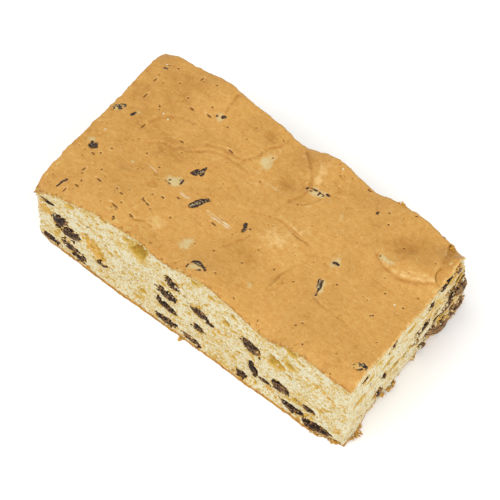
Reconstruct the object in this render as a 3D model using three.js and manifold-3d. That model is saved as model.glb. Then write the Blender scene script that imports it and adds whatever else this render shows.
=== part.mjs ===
// A rectangular piece cut from a sultana sheet cake: pale crumb with dark sultanas at its
// cut sides, a baked skin on top that rises and sinks in swells and creases, and a thin
// brown base that it rests on.
//
// Millimetres. +X runs along the long side, +Y from the front long side to the back one,
// +Z up. The origin is under the middle of the base.

import * as THREE from 'three';
import { mergeVertices } from 'three/addons/utils/BufferGeometryUtils.js';
import Module from 'manifold-3d';

const wasm = await Module();
wasm.setup();

// ---------------------------------------------------------------- driving dimensions

const LENGTH = 180; // front side at the base
const WIDTH = 96.4; // left side at the base
const SKIN_LEVEL = 46.5; // the top skin's height away from its swells
const FRONT_LEAN = 4.7; // the knife's front cut leans back this far at the top
const FRONT_LEAN_LEFT = 0.8; // and hardly at all at its left end
const LEAN_RUN = 50; // length over which the lean grows from the left end
const LEFT_LEAN = 1; // the left cut leans outwards
const BACK_BULGE = 0.4; // the back cut bulges a little half-way up
const RIGHT_TAPER = 2.3; // the slab is this much shorter at the back
const BASE_FLARE = 1.1; // the brown base stands out under the crumb
const BASE_FLARE_HEIGHT = 3;
const SEED = 41;

// How finely the slab's faces are divided.
const CELLS_X = 51;
const CELLS_Y = 27;
const CELLS_Z = 9;
const LOW_CELLS = 1.25; // over 1, rows of cells crowd towards the base

const HALF_X = LENGTH / 2;
const HALF_Y = WIDTH / 2;

// Swells and hollows of the top skin: middle, height, radii.
const SWELLS = [
  { x: -54, y: -38, rise: 6, rx: 22, ry: 20 }, // front edge, left
  { x: 7, y: -41, rise: 8, rx: 17, ry: 16 }, // front edge, middle
  { x: 37, y: -46, rise: -3, rx: 9, ry: 9 },
  { x: 62, y: -36, rise: 5.5, rx: 16, ry: 16 }, // front edge, right
  { x: 89, y: -34, rise: 3.6, rx: 14, ry: 13 },
  { x: -93, y: -51, rise: -10, rx: 8, ry: 8 }, // front left corner rolls down
  { x: -53, y: 46, rise: 6, rx: 13, ry: 14 }, // back edge, left
  { x: -9, y: 48, rise: -6, rx: 9, ry: 15 },
  { x: 13, y: 45, rise: 3.6, rx: 8, ry: 12 }, // back edge, middle
  { x: 34, y: 50, rise: -4.2, rx: 8, ry: 10 },
  { x: 57, y: 40, rise: 2.6, rx: 11, ry: 13 }, // back edge, right
  { x: 81, y: 47, rise: -7, rx: 9, ry: 7 },
  { x: 87, y: 42, rise: 4, rx: 5, ry: 4 },
  { x: -94, y: 53, rise: -9, rx: 8, ry: 8 }, // back left corner rolls down
  { x: -92, y: 18, rise: -2.4, rx: 13, ry: 24 }, // left edge sags
  { x: 89, y: 20, rise: -4, rx: 11, ry: 13 }, // right edge sags
  { x: 73, y: 25, rise: 3.4, rx: 13, ry: 8 }, // long swell by the right edge
  { x: 62, y: 33, rise: -1.8, rx: 8, ry: 7 },
  { x: 1, y: 26, rise: -2.6, rx: 11, ry: 12 }, // valley between the back swells
  { x: -34, y: 30, rise: 1.8, rx: 16, ry: 14 },
  { x: 17, y: -3, rise: 1.6, rx: 12, ry: 9 },
  { x: -30, y: -12, rise: 1.4, rx: 20, ry: 12 },
  { x: 32, y: 16, rise: 1.4, rx: 16, ry: 12 },
  { x: 56, y: -12, rise: 1.2, rx: 18, ry: 12 },
];

// Creases where the skin has folded as it baked: points along each, depth, width.
const CREASES = [
  { depth: 1, width: 2.6, run: [[-63, 1], [-52, 4], [-46, 8], [-42, 11]] },
  { depth: 1.6, width: 2.6, run: [[-42, 18], [-32, 17], [-18, 18]] },
  { depth: 1.8, width: 3, run: [[-17, 46], [-16, 35], [-20, 23], [-18, 18]] },
  { depth: 1.6, width: 3.2, run: [[-1, 42], [8, 34], [11, 26], [9, 18]] },
  { depth: 1.2, width: 2.4, run: [[9, 7], [20, 5], [27, 5]] },
  { depth: 1, width: 2.6, run: [[49, -16], [64, -17]] },
  { depth: 2.2, width: 3, run: [[65, 15], [73, 13], [81, 16], [87, 24]] },
  { depth: 2.6, width: 2.6, run: [[78, 44], [81, 38], [84, 29]] }, // torn back right corner
];

// Sultanas that show. Each row: place along the face, place up it (across it on the top),
// length, thickness, turn in degrees, how far it stands proud.
const FRONT_SULTANAS = [
  [-84, 36, 9, 2.5, 0, 0.5],
  [-77, 24.5, 11, 7, -35, 1],
  [-69.5, 22, 12, 8, -55, 1.2],
  [-71, 10, 9, 5, 0, 0.9],
  [-83, 6, 12, 4, -6, 0.8],
  [-65.5, 7.5, 6, 5, 0, 0.8],
  [-52.5, 13.4, 8, 3, 10, 0.5],
  [-14, 24, 12, 7, -18, 1.2],
  [-11, 35, 9, 7, -30, 0.8],
  [-13.6, 14.5, 12, 4.5, -18, 1],
  [-13, 4.6, 12, 4, 4, 0.8],
  [2.2, 4, 12, 3, -8, 0.8],
  [6.6, 27.7, 13, 5, -14, 0.9],
  [5, 14.8, 7, 5, -10, 0.7],
  [35, 28.4, 11, 8, -28, 1.2],
  [37, 13, 10, 6, -60, 0.7],
  [32, 4.2, 6, 4, 0, 0.7],
  [44.5, 9.8, 8, 3, 0, 0.6],
  [53, 13.6, 10, 7, -15, 1.2],
  [69.4, 11.7, 7, 4, 10, 0.8],
  [62, 5, 13, 4, 0, 1],
  [75, 4.6, 14, 4.5, 6, 1.1],
];
const RIGHT_SULTANAS = [
  [-33, 43, 7, 2, 0, 0.4],
  [-10.4, 42.5, 7, 2.6, 24, 0.5],
  [-22, 13.5, 7, 5, 30, 1.4],
  [-18, 23, 4, 4, 0, 0.8],
  [12, 24, 11, 5, 0, 1],
  [19, 12.4, 9, 6, -12, 1.3],
  [29, 6, 13, 9, -12, 2],
  [18, 36, 8, 3, 60, 0.8],
  [28.7, 41.5, 9, 3.5, 0, 1],
  [41, 8, 12, 10, 0, 2.2],
  [44, 20, 9, 10, 50, 2],
  [40, 37, 6, 5, 0, 1.2],
];
const TOP_SULTANAS = [
  [-86, 8, 8, 4.5, 40, 0.5],
  [-81.5, -16, 7, 5, -13, 0.6],
  [-34.3, 3.2, 9, 4.5, 60, 0.6],
  [-40, -7.4, 11, 6, 15, 0.6],
  [-23.4, -9.4, 12, 4, 58, 0.7],
  [0.4, -6.5, 6, 4, 103, 0.5],
  [-15, -30.1, 8, 6, -9, 0.7],
  [-4.3, -36.3, 10, 7, 28, 0.8],
  [15.5, 28.7, 12, 6, 14, 0.7],
  [46.3, -10.4, 11, 5, 110, 0.8],
  [61.4, 19.6, 8, 4, 1, 0.6],
  [44.5, 4.8, 6, 5, 73, 0.6],
  [86, -31, 8, 6, 38, 0.6],
];

// Open bubbles in the crumb. Each row: place along the face, place up it, length, height.
const FRONT_BUBBLES = [
  [-31.5, 44, 8, 7],
  [50, 32, 9, 6],
  [58, 48, 6, 4],
  [20.5, 34, 4, 4],
  [63, 11.5, 5, 4],
];
const RIGHT_BUBBLES = [
  [-9, 19.4, 8, 4],
  [1, 17.7, 10, 4],
  [-24, 45.5, 7, 3],
];

// Flakes of the base that stick out past the right cut: place along it, run, reach.
const BASE_FLAKES = [
  { y: -38.5, run: 12, reach: 2.7, top: 3.4 },
  { y: -11, run: 8, reach: 2.4, top: 4.2 },
  { y: 9, run: 6, reach: 1.8, top: 3 },
];

const HIDDEN_SULTANAS = { back: 15, left: 8 }; // on the cuts that aren't shown
const SULTANA_RINGS = 5;
const SULTANA_SIDES = 7;
const SULTANA_DEPTH = 5; // a sultana's size into the crumb
const HEM = 4; // the slab is formed this far below its base and then cut flat

// ---------------------------------------------------------------- small helpers

let seed = SEED;

// Repeatable random number between low and high.
function draw(low, high) {
  seed = (seed * 1664525 + 1013904223) % 4294967296;
  return low + (high - low) * (seed / 4294967296);
}

function bump(distance) {
  return Math.exp(-distance * distance);
}

function distanceToRun(x, y, run) {
  const spot = new THREE.Vector2(x, y);
  let nearest = Infinity;
  for (let i = 1; i < run.length; i++) {
    const from = new THREE.Vector2(...run[i - 1]);
    const along = new THREE.Vector2(...run[i]).sub(from);
    const share = THREE.MathUtils.clamp(spot.clone().sub(from).dot(along) / along.lengthSq(), 0, 1);
    nearest = Math.min(nearest, from.addScaledVector(along, share).distanceTo(spot));
  }
  return nearest;
}

// A closed geometry as a solid that can be joined and cut.
function solidOf(geometry) {
  const bare = geometry.clone();
  bare.deleteAttribute('normal');
  bare.deleteAttribute('uv');
  const merged = mergeVertices(bare, 1e-4);
  return new wasm.Manifold(new wasm.Mesh({
    numProp: 3,
    vertProperties: new Float32Array(merged.attributes.position.array),
    triVerts: new Uint32Array(merged.index.array),
  }));
}

function geometryOf(solid) {
  const mesh = solid.getMesh();
  const geometry = new THREE.BufferGeometry();
  geometry.setAttribute('position', new THREE.BufferAttribute(new Float32Array(mesh.vertProperties), 3));
  geometry.setIndex(new THREE.BufferAttribute(new Uint32Array(mesh.triVerts), 1));
  geometry.computeVertexNormals();
  return geometry;
}

// ---------------------------------------------------------------- form of the slab

// Height of the top skin over a spot of the plan.
function skinHeight(x, y) {
  let height = SKIN_LEVEL;
  for (const s of SWELLS) {
    height += s.rise * bump(Math.hypot((x - s.x) / s.rx, (y - s.y) / s.ry));
  }
  for (const c of CREASES) {
    height -= c.depth * bump(distanceToRun(x, y, c.run) / c.width);
  }
  return height;
}

// The crumb's uneven cut surface: how far it stands out of the flat cut.
function cutRelief(along, up) {
  return 0.22 * Math.sin(0.9 * along + 1.3 * Math.sin(0.31 * up)) * Math.sin(0.8 * up + 0.4)
    + 0.28 * Math.sin(0.23 * along + 1.1) * Math.sin(0.19 * up + 0.07 * along);
}

// 1 or -1 on the two faces that a share ends at, and 0 between them.
function atFace(share) {
  return Math.abs(share) === 1 ? share : 0;
}

// Point of the slab for shares across: u and v from -1 to 1, w from 0 at the base to 1.
function slabPoint(u, v, w) {
  const planX = u * HALF_X;
  const planY = v * HALF_Y;
  const z = w * skinHeight(planX, planY);
  const front = (1 - v) / 2;
  const back = (1 + v) / 2;
  const left = (1 - u) / 2;
  const right = (1 + u) / 2;

  const leanRise = THREE.MathUtils.clamp((planX + HALF_X) / LEAN_RUN, 0, 1);
  const lean = THREE.MathUtils.lerp(FRONT_LEAN_LEFT, FRONT_LEAN, leanRise);
  const flare = BASE_FLARE * bump(Math.max(z, 0) / BASE_FLARE_HEIGHT);
  const frontRelief = flare + cutRelief(planX, z);
  const backRelief = BACK_BULGE * Math.sin(Math.PI * w) + 0.4 * flare + cutRelief(planX + 40, z);
  const sideRelief = 0.5 * flare + cutRelief(planY + 90, z);

  const point = new THREE.Vector3(planX, planY + lean * w * front, z);
  point.x -= RIGHT_TAPER * right * back + LEFT_LEAN * w * left;
  point.x += sideRelief * atFace(u);
  point.y += v > 0 ? backRelief * atFace(v) : frontRelief * atFace(v);
  return point;
}

function slabSolid() {
  const geometry = new THREE.BoxGeometry(2, 2, 1, CELLS_X, CELLS_Y, CELLS_Z);
  const position = geometry.attributes.position;
  for (let i = 0; i < position.count; i++) {
    const w = Math.pow(position.getZ(i) + 0.5, LOW_CELLS);
    const point = slabPoint(position.getX(i), position.getY(i), w);
    point.z -= HEM * Math.pow(1 - w, 8);
    position.setXYZ(i, point.x, point.y, point.z);
  }
  return solidOf(geometry).intersect(aboveBase());
}

// Everything above the board, so that the base is one flat face.
function aboveBase() {
  const room = new THREE.BoxGeometry(2 * LENGTH, 2 * LENGTH, LENGTH);
  room.translate(0, 0, LENGTH / 2);
  return solidOf(room);
}

// ---------------------------------------------------------------- places on its faces

// Each face gives the point at a place along it and up it, and which way is out.
const FACES = {
  front: {
    out: new THREE.Vector3(0, -1, 0),
    along: new THREE.Vector3(1, 0, 0),
    spot: (x, z) => slabPoint(x / HALF_X, -1, z / skinHeight(x, -HALF_Y)),
  },
  back: {
    out: new THREE.Vector3(0, 1, 0),
    along: new THREE.Vector3(-1, 0, 0),
    spot: (x, z) => slabPoint(x / HALF_X, 1, z / skinHeight(x, HALF_Y)),
  },
  right: {
    out: new THREE.Vector3(1, 0, 0),
    along: new THREE.Vector3(0, 1, 0),
    spot: (y, z) => slabPoint(1, y / HALF_Y, z / skinHeight(HALF_X, y)),
  },
  left: {
    out: new THREE.Vector3(-1, 0, 0),
    along: new THREE.Vector3(0, -1, 0),
    spot: (y, z) => slabPoint(-1, y / HALF_Y, z / skinHeight(-HALF_X, y)),
  },
};

const TOP = {
  out: new THREE.Vector3(0, 0, 1),
  along: new THREE.Vector3(1, 0, 0),
  spot: (x, y) => new THREE.Vector3(x, y, skinHeight(x, y)),
};

// Moves a geometry made along X, with +Z outwards, onto a face and turns it there.
function setOnFace(geometry, face, place, turn, sunk) {
  const out = face.out;
  const along = face.along.clone().applyAxisAngle(out, THREE.MathUtils.degToRad(turn));
  const across = out.clone().cross(along);
  const at = face.spot(...place).addScaledVector(out, -sunk);
  const frame = new THREE.Matrix4().makeBasis(along, across, out).setPosition(at);
  return geometry.applyMatrix4(frame);
}

// A dried sultana: an oval with a few deep wrinkles, sunk until only its outside is proud.
function sultana(face, [along, up, length, thickness, turn, proud]) {
  const geometry = new THREE.SphereGeometry(0.5, SULTANA_SIDES, SULTANA_RINGS);
  geometry.rotateZ(Math.PI / 2);
  const position = geometry.attributes.position;
  const phase = draw(0, 2 * Math.PI);
  const point = new THREE.Vector3();
  for (let i = 0; i < position.count; i++) {
    point.fromBufferAttribute(position, i);
    point.multiplyScalar(1 + 0.12 * Math.sin(7 * point.y + 9 * point.z + phase));
    position.setXYZ(i, point.x, point.y, point.z);
  }
  geometry.scale(length, thickness, SULTANA_DEPTH);
  return solidOf(setOnFace(geometry, face, [along, up], turn, SULTANA_DEPTH / 2 - proud));
}

// An open bubble, to be cut out of a face.
function bubble(face, [along, up, length, height]) {
  const geometry = new THREE.IcosahedronGeometry(0.5, 1);
  geometry.scale(length, height, Math.min(length, height));
  return solidOf(setOnFace(geometry, face, [along, up], draw(-15, 15), -0.12 * height));
}

// A torn flake of the base, thin at its outer edge.
function baseFlake({ y, run, reach, top }) {
  const inside = 3;
  const profile = new THREE.Shape();
  profile.moveTo(-inside, 0);
  profile.lineTo(reach, 0);
  profile.lineTo(reach * 0.9, top * 0.4);
  profile.lineTo(reach * 0.4, top * 0.6);
  profile.lineTo(-inside, top);
  profile.closePath();
  const geometry = new THREE.ExtrudeGeometry(profile, { depth: run, bevelEnabled: false });
  geometry.rotateX(Math.PI / 2);
  geometry.translate(HALF_X - RIGHT_TAPER * (y + HALF_Y) / WIDTH - 0.3, y + run / 2, 0);
  return solidOf(geometry);
}

// Sultanas on a cut that isn't shown: one in each of a row of bays, high and low by turns.
function hiddenSultanas(face, count, span) {
  const placed = [];
  for (let i = 0; i < count; i++) {
    const bay = -span / 2 + (i + draw(0.3, 0.7)) * span / count;
    const band = i % 3;
    const up = 6 + 13 * band + draw(-2, 3);
    placed.push(sultana(face, [bay, up, draw(8, 12), draw(4, 7), draw(-35, 35), draw(0.6, 1.3)]));
  }
  return placed;
}

// ---------------------------------------------------------------- the cake

function cakeGeometry() {
  let cake = slabSolid();
  for (const hole of FRONT_BUBBLES) {
    cake = cake.subtract(bubble(FACES.front, hole));
  }
  for (const hole of RIGHT_BUBBLES) {
    cake = cake.subtract(bubble(FACES.right, hole));
  }
  const added = [
    ...FRONT_SULTANAS.map((row) => sultana(FACES.front, row)),
    ...RIGHT_SULTANAS.map((row) => sultana(FACES.right, row)),
    ...TOP_SULTANAS.map((row) => sultana(TOP, row)),
    ...hiddenSultanas(FACES.back, HIDDEN_SULTANAS.back, LENGTH - 12),
    ...hiddenSultanas(FACES.left, HIDDEN_SULTANAS.left, WIDTH - 12),
    ...BASE_FLAKES.map(baseFlake),
  ];
  for (const piece of added) {
    cake = cake.add(piece);
  }
  return geometryOf(cake.intersect(aboveBase()));
}

const cake = new THREE.Mesh(
  cakeGeometry(),
  new THREE.MeshStandardMaterial({ color: 0xd8a35a, roughness: 0.7, metalness: 0 }),
);
cake.name = 'cake';

const group = new THREE.Group();
group.add(cake);

export default group;
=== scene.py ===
"""A slab of sultana sheet cake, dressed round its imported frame."""

import math
import random

import bmesh
import bpy
import numpy as np
from mathutils import Matrix, Vector


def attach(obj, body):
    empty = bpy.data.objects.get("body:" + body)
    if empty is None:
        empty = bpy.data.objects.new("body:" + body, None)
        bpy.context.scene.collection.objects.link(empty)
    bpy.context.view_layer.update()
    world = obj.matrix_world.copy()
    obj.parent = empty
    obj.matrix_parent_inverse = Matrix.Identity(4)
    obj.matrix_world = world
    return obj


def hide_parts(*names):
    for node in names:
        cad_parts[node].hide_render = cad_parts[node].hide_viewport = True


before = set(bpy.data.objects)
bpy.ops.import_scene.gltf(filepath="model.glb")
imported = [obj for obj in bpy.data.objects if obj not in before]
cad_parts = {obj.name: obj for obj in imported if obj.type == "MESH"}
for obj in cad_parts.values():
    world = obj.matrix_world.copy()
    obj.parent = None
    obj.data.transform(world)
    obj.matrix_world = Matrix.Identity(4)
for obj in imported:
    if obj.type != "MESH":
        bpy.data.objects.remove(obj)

bl_info = {
    "name": "Sultana cake slab",
    "version": (1, 0, 0),
    "blender": (4, 5, 0),
    "location": "3D View > Sidebar > Cake",
    "description": "Dresses a packed slab of sultana cake with skin, crumb, base and sultanas",
    "category": "Add Mesh",
}

MM = 0.001
NODE = "cake"
BODY = "root"

# ------------------------------------------------------------------ form of the slab, in mm

LENGTH = 180.0  # front side at the base
WIDTH = 96.4  # left side at the base
SKIN_LEVEL = 46.5  # the top skin's height away from its swells
FRONT_LEAN = 4.7  # the front cut leans back this far at the top
FRONT_LEAN_LEFT = 0.8  # and this far at its left end
LEAN_RUN = 50.0  # from there its lean grows over this length
LEFT_LEAN = 1.0  # the left cut leans out this far at the top
RIGHT_TAPER = 2.3  # the back right corner lies in this far
HALF_X = LENGTH / 2
HALF_Y = WIDTH / 2

# Swells and hollows of the top skin: x, y, rise, radius along x, radius along y.
SWELLS = (
    (-54, -38, 6, 22, 20), (7, -41, 8, 17, 16), (43, -46, -4.2, 10, 8), (-31, -46, 3.4, 8, 7),
    (-76, -49, -1.8, 15, 8), (62, -36, 5.5, 16, 16), (89, -34, 3.6, 14, 13),
    (-93, -51, -10, 8, 8), (-53, 46, 6, 13, 14), (-9, 48, -6, 9, 15), (13, 45, 3.6, 8, 12),
    (34, 50, -4.2, 8, 10), (57, 40, 2.6, 11, 13), (81, 47, -7, 9, 7), (87, 42, 4, 5, 4),
    (-94, 53, -9, 8, 8), (-92, 18, -2.4, 13, 24), (89, 20, -4, 11, 13), (73, 25, 3.4, 13, 8),
    (62, 33, -1.8, 8, 7), (1, 26, -2.6, 11, 12), (-34, 30, 1.8, 16, 14), (17, -3, 1.6, 12, 9),
    (-30, -12, 1.4, 20, 12), (32, 16, 1.4, 16, 12), (56, -12, 1.2, 18, 12),
)
# Pulls of the top's corners: x, y, move along x, move along y, reach.
CORNER_PULLS = ((87.7, 48.2, -0.3, -2.6, 5.0),)
# How far the foot of each cut stands out of it: place along the cut, out.
FOOT_LINES = {
    "front": ((-91, -1.4), (-84, 0.0), (-64, 0.5), (-44, 1.2), (17, 1.4), (36, 2.1), (56, 1.8),
              (75, 2.2), (81, 0.4), (90, -1.4)),
    "right": ((-48, 0.3), (-38, 0.6), (-27, -1.7), (5, -1.9), (29, -1.4), (35, -0.2), (39, -1.2),
              (44, 0.8), (48, 0.0)),
    "back": ((-90, 0.6), (90, 0.6)),
    "left": ((-48, 0.6), (48, 0.6)),
}
FOOT_HEIGHT = 3.5  # how high a foot reaches
FLOOR_GAP = 0.05  # the lowest crumbs end this far over the floor

# Folds of the skin: depth, width, lip, reach of the lip, points along the fold. The lip is the
# side that has swollen over the fold, on the left of the run where it is positive. Each fold
# also gets painted shade along it and a painted highlight beside it on the lip's side.
FOLDS = (
    (0.32, 0.6, 0.30, 3,
     ((-63.2, 2.7), (-57.4, 6.6), (-52, 6.4), (-50.5, 9.2), (-46, 10), (-41.8, 13.2))),
    (0.36, 0.7, -0.5, 5, ((-14.7, 45), (-15, 40), (-17.4, 34.7), (-19.3, 27), (-22.6, 21.9))),
    (0.30, 0.6, 0.30, 3, ((-42.2, 17.4), (-40, 18.4), (-34.3, 20), (-28.7, 20.4), (-22.6, 21.9))),
    (0.40, 0.9, -0.5, 6, ((-4.1, 45.5), (4, 38), (8.2, 33.4), (10, 28), (9.1, 23.4), (6.5, 17.9))),
    (0.35, 0.5, 0.30, 3, ((8, 7), (14.4, 7), (21.3, 6.3), (29, 5.2))),
    (0.25, 0.7, 0.25, 3, ((-72, 7.7), (-69.4, 14), (-62.7, 20.5), (-52.7, 23))),
    (0.30, 0.6, 0.25, 3, ((-41.8, 13.2), (-35.8, 16.9), (-24.9, 18.1), (-15.7, 17.7))),
    (0.30, 0.8, -0.3, 4, ((27.7, -22.4), (28.3, -14.4), (30.8, -8))),
    (0.25, 0.7, 0.25, 3, ((-2.1, -21.4), (1.4, -14.8), (4.4, -7.6))),
    (0.30, 0.6, 0.25, 3, ((46, -13), (49, -16), (56, -17), (66, -17))),
    (0.42, 0.7, 0.60, 4,
     ((56, 20), (60, 17.6), (65, 16.6), (72, 16.4), (77, 18.6), (80.2, 20.8), (85.4, 25.1))),
    (0.30, 0.7, 0.30, 3, ((18, 27), (15, 22), (12, 20))),
    (0.30, 0.9, 0.30, 4, ((-45, 37), (-45, 46))),
    (0.22, 0.6, 0.20, 3, ((-62, -20), (-56, -17), (-50, -17))),
    (0.30, 0.6, 0.20, 3, ((-42, -37), (-37, -33), (-33, -33))),
)
# Cracks: depth, width, points. Three of them run along the torn corner at the back right.
CRACKS = (
    (0.40, 0.40, ((38, -47), (37, -43), (38, -41))),
    (0.35, 0.35, ((37, -43), (41, -43))),
    (0.35, 0.35, ((56, -41), (59, -37.5))),
    (0.35, 0.35, ((42, 39), (38.8, 43.3))),
    (0.50, 0.30, ((14, 6.6), (20, 5), (27, 5))),
    (0.60, 0.50, ((77.6, 47.5), (79.2, 44), (80.3, 41.2), (80.7, 38))),
    (0.80, 0.50, ((82.6, 33), (83.1, 29.6), (84.5, 27), (85.5, 26.2))),
    (0.35, 0.30, ((80.7, 38), (82.6, 33))),
    (0.22, 0.35, ((1, -43.2), (5, -42.8), (11, -43), (16, -42.6), (20, -42.9))),
    (0.32, 0.40, ((-42, -35.6), (-39.7, -34.8), (-37.3, -32.3), (-35, -31.2))),
    (0.28, 0.40, ((-31, -33.4), (-29, -31.6), (-28.4, -28.5))),
    (0.34, 0.60, ((-35.1, -41.3), (-33.4, -40.2), (-31.8, -40.6))),
    (0.28, 0.40, ((-38, -38), (-36, -36), (-34.4, -35), (-33, -35.6))),
)
TORN_CORNER = ((77, 52), (79.2, 44), (80.3, 41.2), (82.6, 33), (83.1, 29.6), (85.4, 26.4), (92, 23))
TORN_LIP = 0.9  # how far the skin stands over the corner behind that tear
TORN_FROM = 70  # the tear's line counts only past this x
# Painted highlights along the crests of the folds, with a slight rise: strength, width, points.
CREST_HIGHLIGHTS = (
    (0.38, 0.85,
     ((57, 21.6), (60, 19.6), (65, 18.4), (72, 18.2), (77, 20.4), (81, 23.4), (84, 25.8))),
    (0.4, 0.9, ((71, 20), (76, 23), (81, 26))),
    (0.5, 0.7, ((81.4, 34), (82.0, 30.4), (83.4, 27.2))),
    (0.4, 0.7, ((78.4, 44), (79.4, 41.2))),
    (0.4, 1.0, ((9, 9), (15, 8.6), (22, 7.6))),
    (0.5, 1.6, ((-14.2, 29), (-14, 34), (-13.4, 40))),
    (0.35, 1.4, ((6, 43), (10.6, 37), (13.4, 30))),
)

# Film over sultanas just under the skin: x, y, length, width, turn, strength, rise.
FILMS = (
    (-84.8, -12.8, 6, 4, 30, 0.7, 0.3), (-40.4, -7.1, 12, 8, 36, 0.95, 0.5),
    (-78.0, 12.0, 5.5, 3.4, 60, 0.6, 0.2), (-45.1, 32.3, 6, 5.5, 20, 0.8, 0.3),
    (-83.7, 39.8, 4.5, 2.4, 70, 0.6, 0.2), (-14.9, -29.8, 10, 8, 100, 0.85, 0.4),
    (-2.8, -38.0, 9.5, 6, 5, 0.9, 0.5), (15.4, 29.2, 12.5, 5.5, 10, 1.1, 0.4),
    (31.0, 26.3, 6.5, 3, -50, 0.55, 0.2), (61.2, 19.9, 10, 4, -4, 1.0, 0.4),
    (46.3, -9.6, 11, 5.5, 112, 1.1, 0.4), (44.2, 5.2, 7, 6.5, 20, 0.95, 0.3),
    (20.8, -28.8, 5.5, 3, 115, 0.6, 0.2), (-24.2, -9.2, 10.5, 3.4, 58, 0.8, 0.5),
    (-80.5, -39.5, 4.5, 3, 60, 0.45, 0.2), (-13.9, 28.4, 11, 6, 98, 0.95, 0.2),
    (85.8, -31.3, 9, 6.5, 30, 0.45, 0.3), (-87.6, 9.8, 9, 5, 52, 0.6, 0.2),
    (-62.1, -11.1, 3, 2.6, 0, 0.6, 0.1), (-70.2, -19.2, 2.6, 2.2, 0, 0.4, 0.1),
    (-34.2, 4.4, 6.5, 4, 55, 0.7, 0.5),
)
# Paler and darker patches of the skin, partly its bake and partly painted light and shade on
# its swells and hollows: x, y, length, width, turn, amount (over 0 is darker).
BAKE_AND_SHADE_PATCHES = (
    (15.0, -2.6, 18, 11, 5, -0.8), (-5.9, 18.1, 12, 8, 40, -0.55),
    (-15.4, 28.6, 12, 5, 100, -0.5), (10.3, 38.2, 14, 6, 80, -0.6), (76, 22.5, 19, 5, 24, -0.35),
    (-32.8, -29.9, 8, 6, 0, -0.9), (28, 12, 22, 12, 20, -0.2), (62.9, 32.3, 19, 15, 60, 0.95),
    (29, -18, 12, 9, 40, 0.5), (-0.5, 27, 13, 14, 20, 0.8), (1.0, 40.0, 6, 12, 10, 0.5),
    (9.5, 26, 5, 13, 5, 0.6), (-20, 38, 7, 16, 5, 0.6), (8, -16, 26, 12, 5, 0.35),
    (-75, 20, 55, 70, 0, 0.35), (-84, -40, 22, 12, 0, 0.35), (-55, 6, 30, 12, 20, 0.25),
    (-35, 10, 26, 5, 20, 0.35),
)
# Rough patches where the raw crumb looks through the skin: x, y, length, width, turn, strength.
SCUFFS = (
    (-46.3, -41.6, 5, 2.4, 0, 0.7), (-40.2, -41.0, 4, 2.2, 20, 0.6),
    (-33.5, -40.6, 3.6, 2.2, 0, 0.7), (-33.5, -29.8, 7, 4.5, 20, 0.55),
    (-36.4, -36.2, 7, 5, 30, 0.45), (82.4, 34.6, 1.6, 1.0, 70, 0.9),
    (87.0, 37.6, 2.6, 1.2, 75, 0.9), (86.8, 22.6, 3.4, 1.2, 75, 0.9),
    (88.4, 14.5, 2.4, 0.9, 80, 0.6), (-88.9, -33, 4, 1.6, 80, 0.7), (-89.6, -40, 3, 1.4, 80, 0.6),
)
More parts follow.
